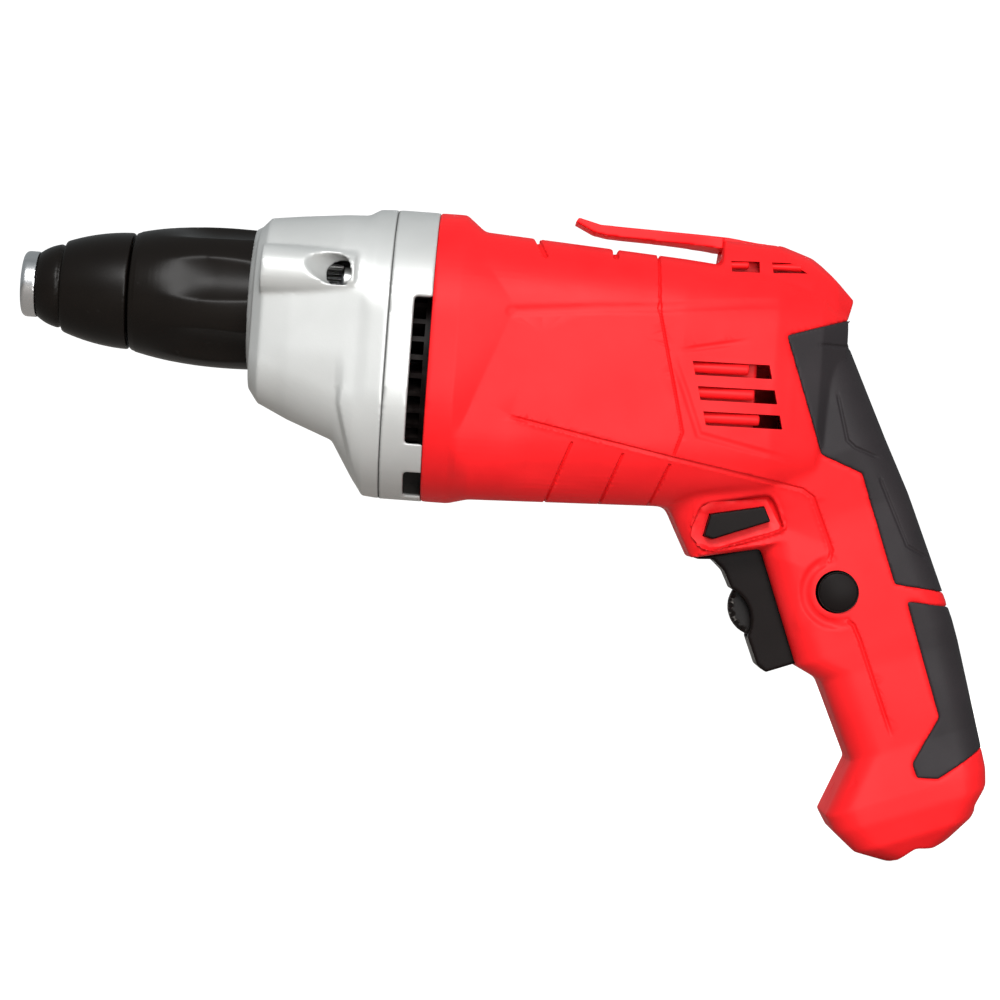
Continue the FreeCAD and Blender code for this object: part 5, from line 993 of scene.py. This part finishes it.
# name, voxel, rounds of smoothing, body, slot and finish
smallLook = {
    "belt_hook": ("beltClip", 0.4, 5, "housing", "red_housing", "redShell"),
    "trigger": ("triggerLever", 0.4, 5, "trigger", "black_plastic", "switchPlastic"),
    "direction_lever": ("reverseLever", 0.35, 5, "direction_lever", "black_plastic", "switchPlastic"),
    "cord_inlet": ("cordGland", 0.35, 4, "housing", "black_plastic", "switchPlastic"),
    "lock_button": ("lockKnob", 0.25, 4, "lock_button", "black_plastic", "switchPlastic"),
    "speed_wheel": ("speedDial", 0.22, 3, "speed_wheel", "black_plastic", "knurlPlastic"),
    "nosepiece": ("noseCone", 0.45, 8, "nosepiece", "black_plastic", "noseNylon"),
    "depth_ring": ("depthCollar", 0.45, 18, "depth_ring", "black_plastic", "noseNylon"),
    "nose_tip": ("noseRing", 0.3, 4, "nosepiece", "steel", "turnedSteel"),
}

hookLook = {"thinner": 0.6, "thinX": (213.0, 222.0), "rootX": (190.0, 210.6), "rootEnd": 211.2, "wider": 0.4,
            "arch": 0.3, "half": 11.0}


def archedHook(piece, node, look):
    spots, ways = vertexPlaces(piece)
    spots[:, 2] -= look["thinner"] * ramp(spots[:, 0], *look["thinX"]) * (ways[:, 2] > 0)
    root = eased(spots[:, 0], *look["rootX"]) * (spots[:, 0] < look["rootEnd"])
    spots[:, 1] *= 1 + look["wider"] * root
    spots[:, 2] -= look["arch"] * (spots[:, 1] / look["half"]) ** 2 * root
    return moved(piece, spots)


triggerLook = {"rise": 0.6, "riseZ": (-76.0, -68.5)}


def raisedTrigger(piece, node, look):
    spots, ways = vertexPlaces(piece)
    spots[:, 2] += look["rise"] * eased(spots[:, 2], *look["riseZ"])
    return moved(piece, spots)


knobLook = {"radius": 6.1, "crown": 0.6, "facing": 0.5}


def crownedKnob(piece, node, look):
    spots, ways = vertexPlaces(piece)
    low, high = np.array(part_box(node)) / mm
    middle = (low + high) / 2
    reach = np.hypot(spots[:, 0] - middle[0], spots[:, 2] - middle[2])
    return press(piece, ramp(reach, 0.0, look["radius"]) ** 2 * (ways[:, 1] < -look["facing"]), look["crown"])


wheelLook = {"toothReach": 1.5, "band": (0.66, 0.46), "bandDrop": 0.1, "bevel": 0.12, "bevelSpan": (0.5, 1.0),
             "bevelReach": (0.55, 0.95)}


def bevelledWheel(piece, node, look):
    # a smooth band round the middle of the rim, and the knurling on bevels beside it
    spots, ways = vertexPlaces(piece)
    low, high = np.array(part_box(node)) / mm
    arm = (spots - (low + high) / 2)[:, [0, 2]]
    reach = np.linalg.norm(arm, axis=1)
    edge = np.abs(spots[:, 1]) / high[1]
    rim = (reach > reach.max() - look["toothReach"]) * ramp(edge, *look["band"])
    grow = rim * (reach.max() - look["bandDrop"] - reach) / np.maximum(reach, 1)
    grow -= look["bevel"] * ramp(edge, *look["bevelSpan"]) * ramp(reach / reach.max(), *look["bevelReach"])
    spots[:, [0, 2]] += arm * grow[:, None]
    return moved(piece, spots)


ringLook = {"stretch": 2.0, "stretchX": (62.0, 69.0), "fluteGain": 1.15, "fluteX": (38.0, 60.0),
            "levels": (30.0, 72.0, 0.5), "slice": 0.6, "inner": 18.2, "deepest": 3.0}


def pointedFlutes(piece, node, look):
    # flutes that run out to points at the front and deepen towards the rear
    spots, ways = vertexPlaces(piece)
    reach = np.hypot(spots[:, 1], spots[:, 2])
    levels = np.arange(*look["levels"])
    most = np.array([reach[np.abs(spots[:, 0] - level) < look["slice"]].max(initial=0) for level in levels])
    short = np.interp(spots[:, 0], levels, most) - reach
    short = np.where((reach > look["inner"]) & (short < look["deepest"]), short, 0)
    grown = 1 + short * (1 - look["fluteGain"] * eased(spots[:, 0], *look["fluteX"])) / np.maximum(reach, 1)
    spots[:, 1:] *= grown[:, None]
    spots[:, 0] += look["stretch"] * ramp(spots[:, 0], *look["stretchX"])
    return moved(piece, spots)


shapers = {
    "belt_hook": (archedHook, hookLook), "trigger": (raisedTrigger, triggerLook),
    "lock_button": (crownedKnob, knobLook), "speed_wheel": (bevelledWheel, wheelLook),
    "depth_ring": (pointedFlutes, ringLook),
}
for node, (name, voxel, rounds, body, slot, look) in smallLook.items():
    piece = softCopy(node, name, voxel, rounds)
    if node in shapers:
        shape, values = shapers[node]
        shape(piece, node, values)
    placed(smoothed(piece), body, node, finishes[look])
    print(name, "faces", len(piece.data.polygons))


# springs behind the pieces pressed against them, copied onto the bodies they ride with

springLook = {
    "trigger_spring": ("triggerCoil", "housing", "trigger_pull"),
    "lock_spring": ("lockCoil", "housing", "button_press"),
    "clutch_spring": ("clutchCoil", "clutch_gear", "spindle_press"),
}
for node, (name, body, joint) in springLook.items():
    spring = nodeCopy(node, name)
    drive = next(row for row in frame["joints"] if row["name"] == joint)
    spots, ways = vertexPlaces(spring)
    along = spots @ np.array(drive["axis"])
    placed(smoothed(spring, creaseAngle), body, node, finishes["springSteel"])
    tuple(spots[along.argmax()] * mm)
    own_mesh(spring)


# finishes of the pieces that keep their own solids

innerLook = {
    "switchPlastic": ["switch_body", "fan"],
    "gripRubber": ["nose_oring", "bearing_sleeve"],
    "turnedSteel": ["bit_holder", "spindle", "armature_shaft", "front_bearing_outer", "front_bearing_inner",
                    "rear_bearing_outer", "rear_bearing_inner", "thrust_washer", "clutch_gear", "wheel_pin"],
    "springSteel": ["ring_circlip", "detent_ball", "detent_spring", "bit_magnet", "bit_wire_ring",
                    "front_bearing_balls", "rear_bearing_balls", "brush_springs"],
    "screwSteel": ["gearbox_screws", "housing_screws"],
    "coreSheets": ["armature_core", "stator_core"],
    "copperWire": ["armature_winding", "commutator", "field_coils"],
    "oilBronze": ["spindle_bush", "gear_bush", "brush_holders", "depth_sleeve"],
    "brushCarbon": ["carbon_brushes"],
    "capacitorFilm": ["capacitor"],
}
for look, names in innerLook.items():
    for name in names:
        nodes[name].data.materials.clear()
        nodes[name].data.materials.append(finishes[look])
print("inner pieces finished")


# floor, light and camera

studio = {
    "floorDrop": 1.0, "floorSize": 12.0, "floorX": 0.15, "floorColour": (0.33, 0.31, 0.29, 1),
    "target": (149.6, 0.0, -55.3), "distance": 1000.0, "lens": 118.0, "sensor": 36.0, "farthest": 60,
    "roll": 4.2, "room": 0.36, "roomColour": (0.90, 0.97, 1.0, 1), "sheet": 1.1,
    # place, aim and size in mm, power in watts, and whether surfaces mirror the box
    "boxes": {
        "keyBox": ((60, -960, 520), (150, 0, -40), (520, 420), 12.0, True),
        "fillBox": ((420, -1000, -40), (170, 0, -50), (500, 500), 7.5, True),
        "backBox": ((150, 1000, 260), (150, 0, -40), (700, 500), 10.0, False),
    },
}
floorZ = min(corner[2] for corner in cadBox) - studio["floorDrop"] * mm
bpy.ops.mesh.primitive_plane_add(size=studio["floorSize"], location=(studio["floorX"], 0.0, floorZ))
floor = bpy.context.object
floor.name = "floor"
white = bpy.data.materials.new("paleFloor")
white.use_nodes = True
paint = white.node_tree.nodes["Principled BSDF"]
paint.inputs["Base Color"].default_value = studio["floorColour"]
paint.inputs["Roughness"].default_value = 1.0
paint.inputs["Specular IOR Level"].default_value = 0.0
paint.inputs["Emission Color"].default_value = (1, 1, 1, 1)
glow = add(white.node_tree, "ShaderNodeLightPath")
white.node_tree.links.new(glow.outputs["Is Camera Ray"], paint.inputs["Emission Strength"])
floor.data.materials.append(white)

world = bpy.data.worlds.new("studio")
world.use_nodes = True
tree = world.node_tree
room = tree.nodes["Background"]
room.inputs["Color"].default_value = studio["roomColour"]
room.inputs["Strength"].default_value = studio["room"]
sheet = add(tree, "ShaderNodeBackground")
sheet.inputs["Color"].default_value = (1, 1, 1, 1)
sheet.inputs["Strength"].default_value = studio["sheet"]
seen = add(tree, "ShaderNodeLightPath")
either = add(tree, "ShaderNodeMixShader")
tree.links.new(seen.outputs["Is Camera Ray"], either.inputs[0])
tree.links.new(room.outputs[0], either.inputs[1])
tree.links.new(sheet.outputs[0], either.inputs[2])
tree.links.new(either.outputs[0], tree.nodes["World Output"].inputs["Surface"])
bpy.context.scene.world = world


def softbox(name, place, aim, size, power, mirrored):
    bpy.ops.object.light_add(type="AREA", location=[v * mm for v in place])
    lamp = bpy.context.object
    lamp.name = name
    lamp.data.shape = "RECTANGLE"
    lamp.data.size = size[0] * mm
    lamp.data.size_y = size[1] * mm
    lamp.data.energy = power
    lamp.visible_glossy = mirrored
    way = Vector(aim) - Vector(place)
    lamp.rotation_euler = way.to_track_quat("-Z", "Y").to_euler()
    return lamp


for name, values in studio["boxes"].items():
    softbox(name, *values)

bpy.ops.object.camera_add()
camera = bpy.context.object
camera.location = (studio["target"][0] * mm, -studio["distance"] * mm, studio["target"][2] * mm)
camera.rotation_euler = (math.radians(90), math.radians(-studio["roll"]), 0)
camera.data.lens = studio["lens"]
camera.data.sensor_width = studio["sensor"]
camera.data.clip_end = studio["farthest"]
bpy.context.scene.camera = camera
bpy.context.scene.view_settings.view_transform = "Standard"

print("scene ready")
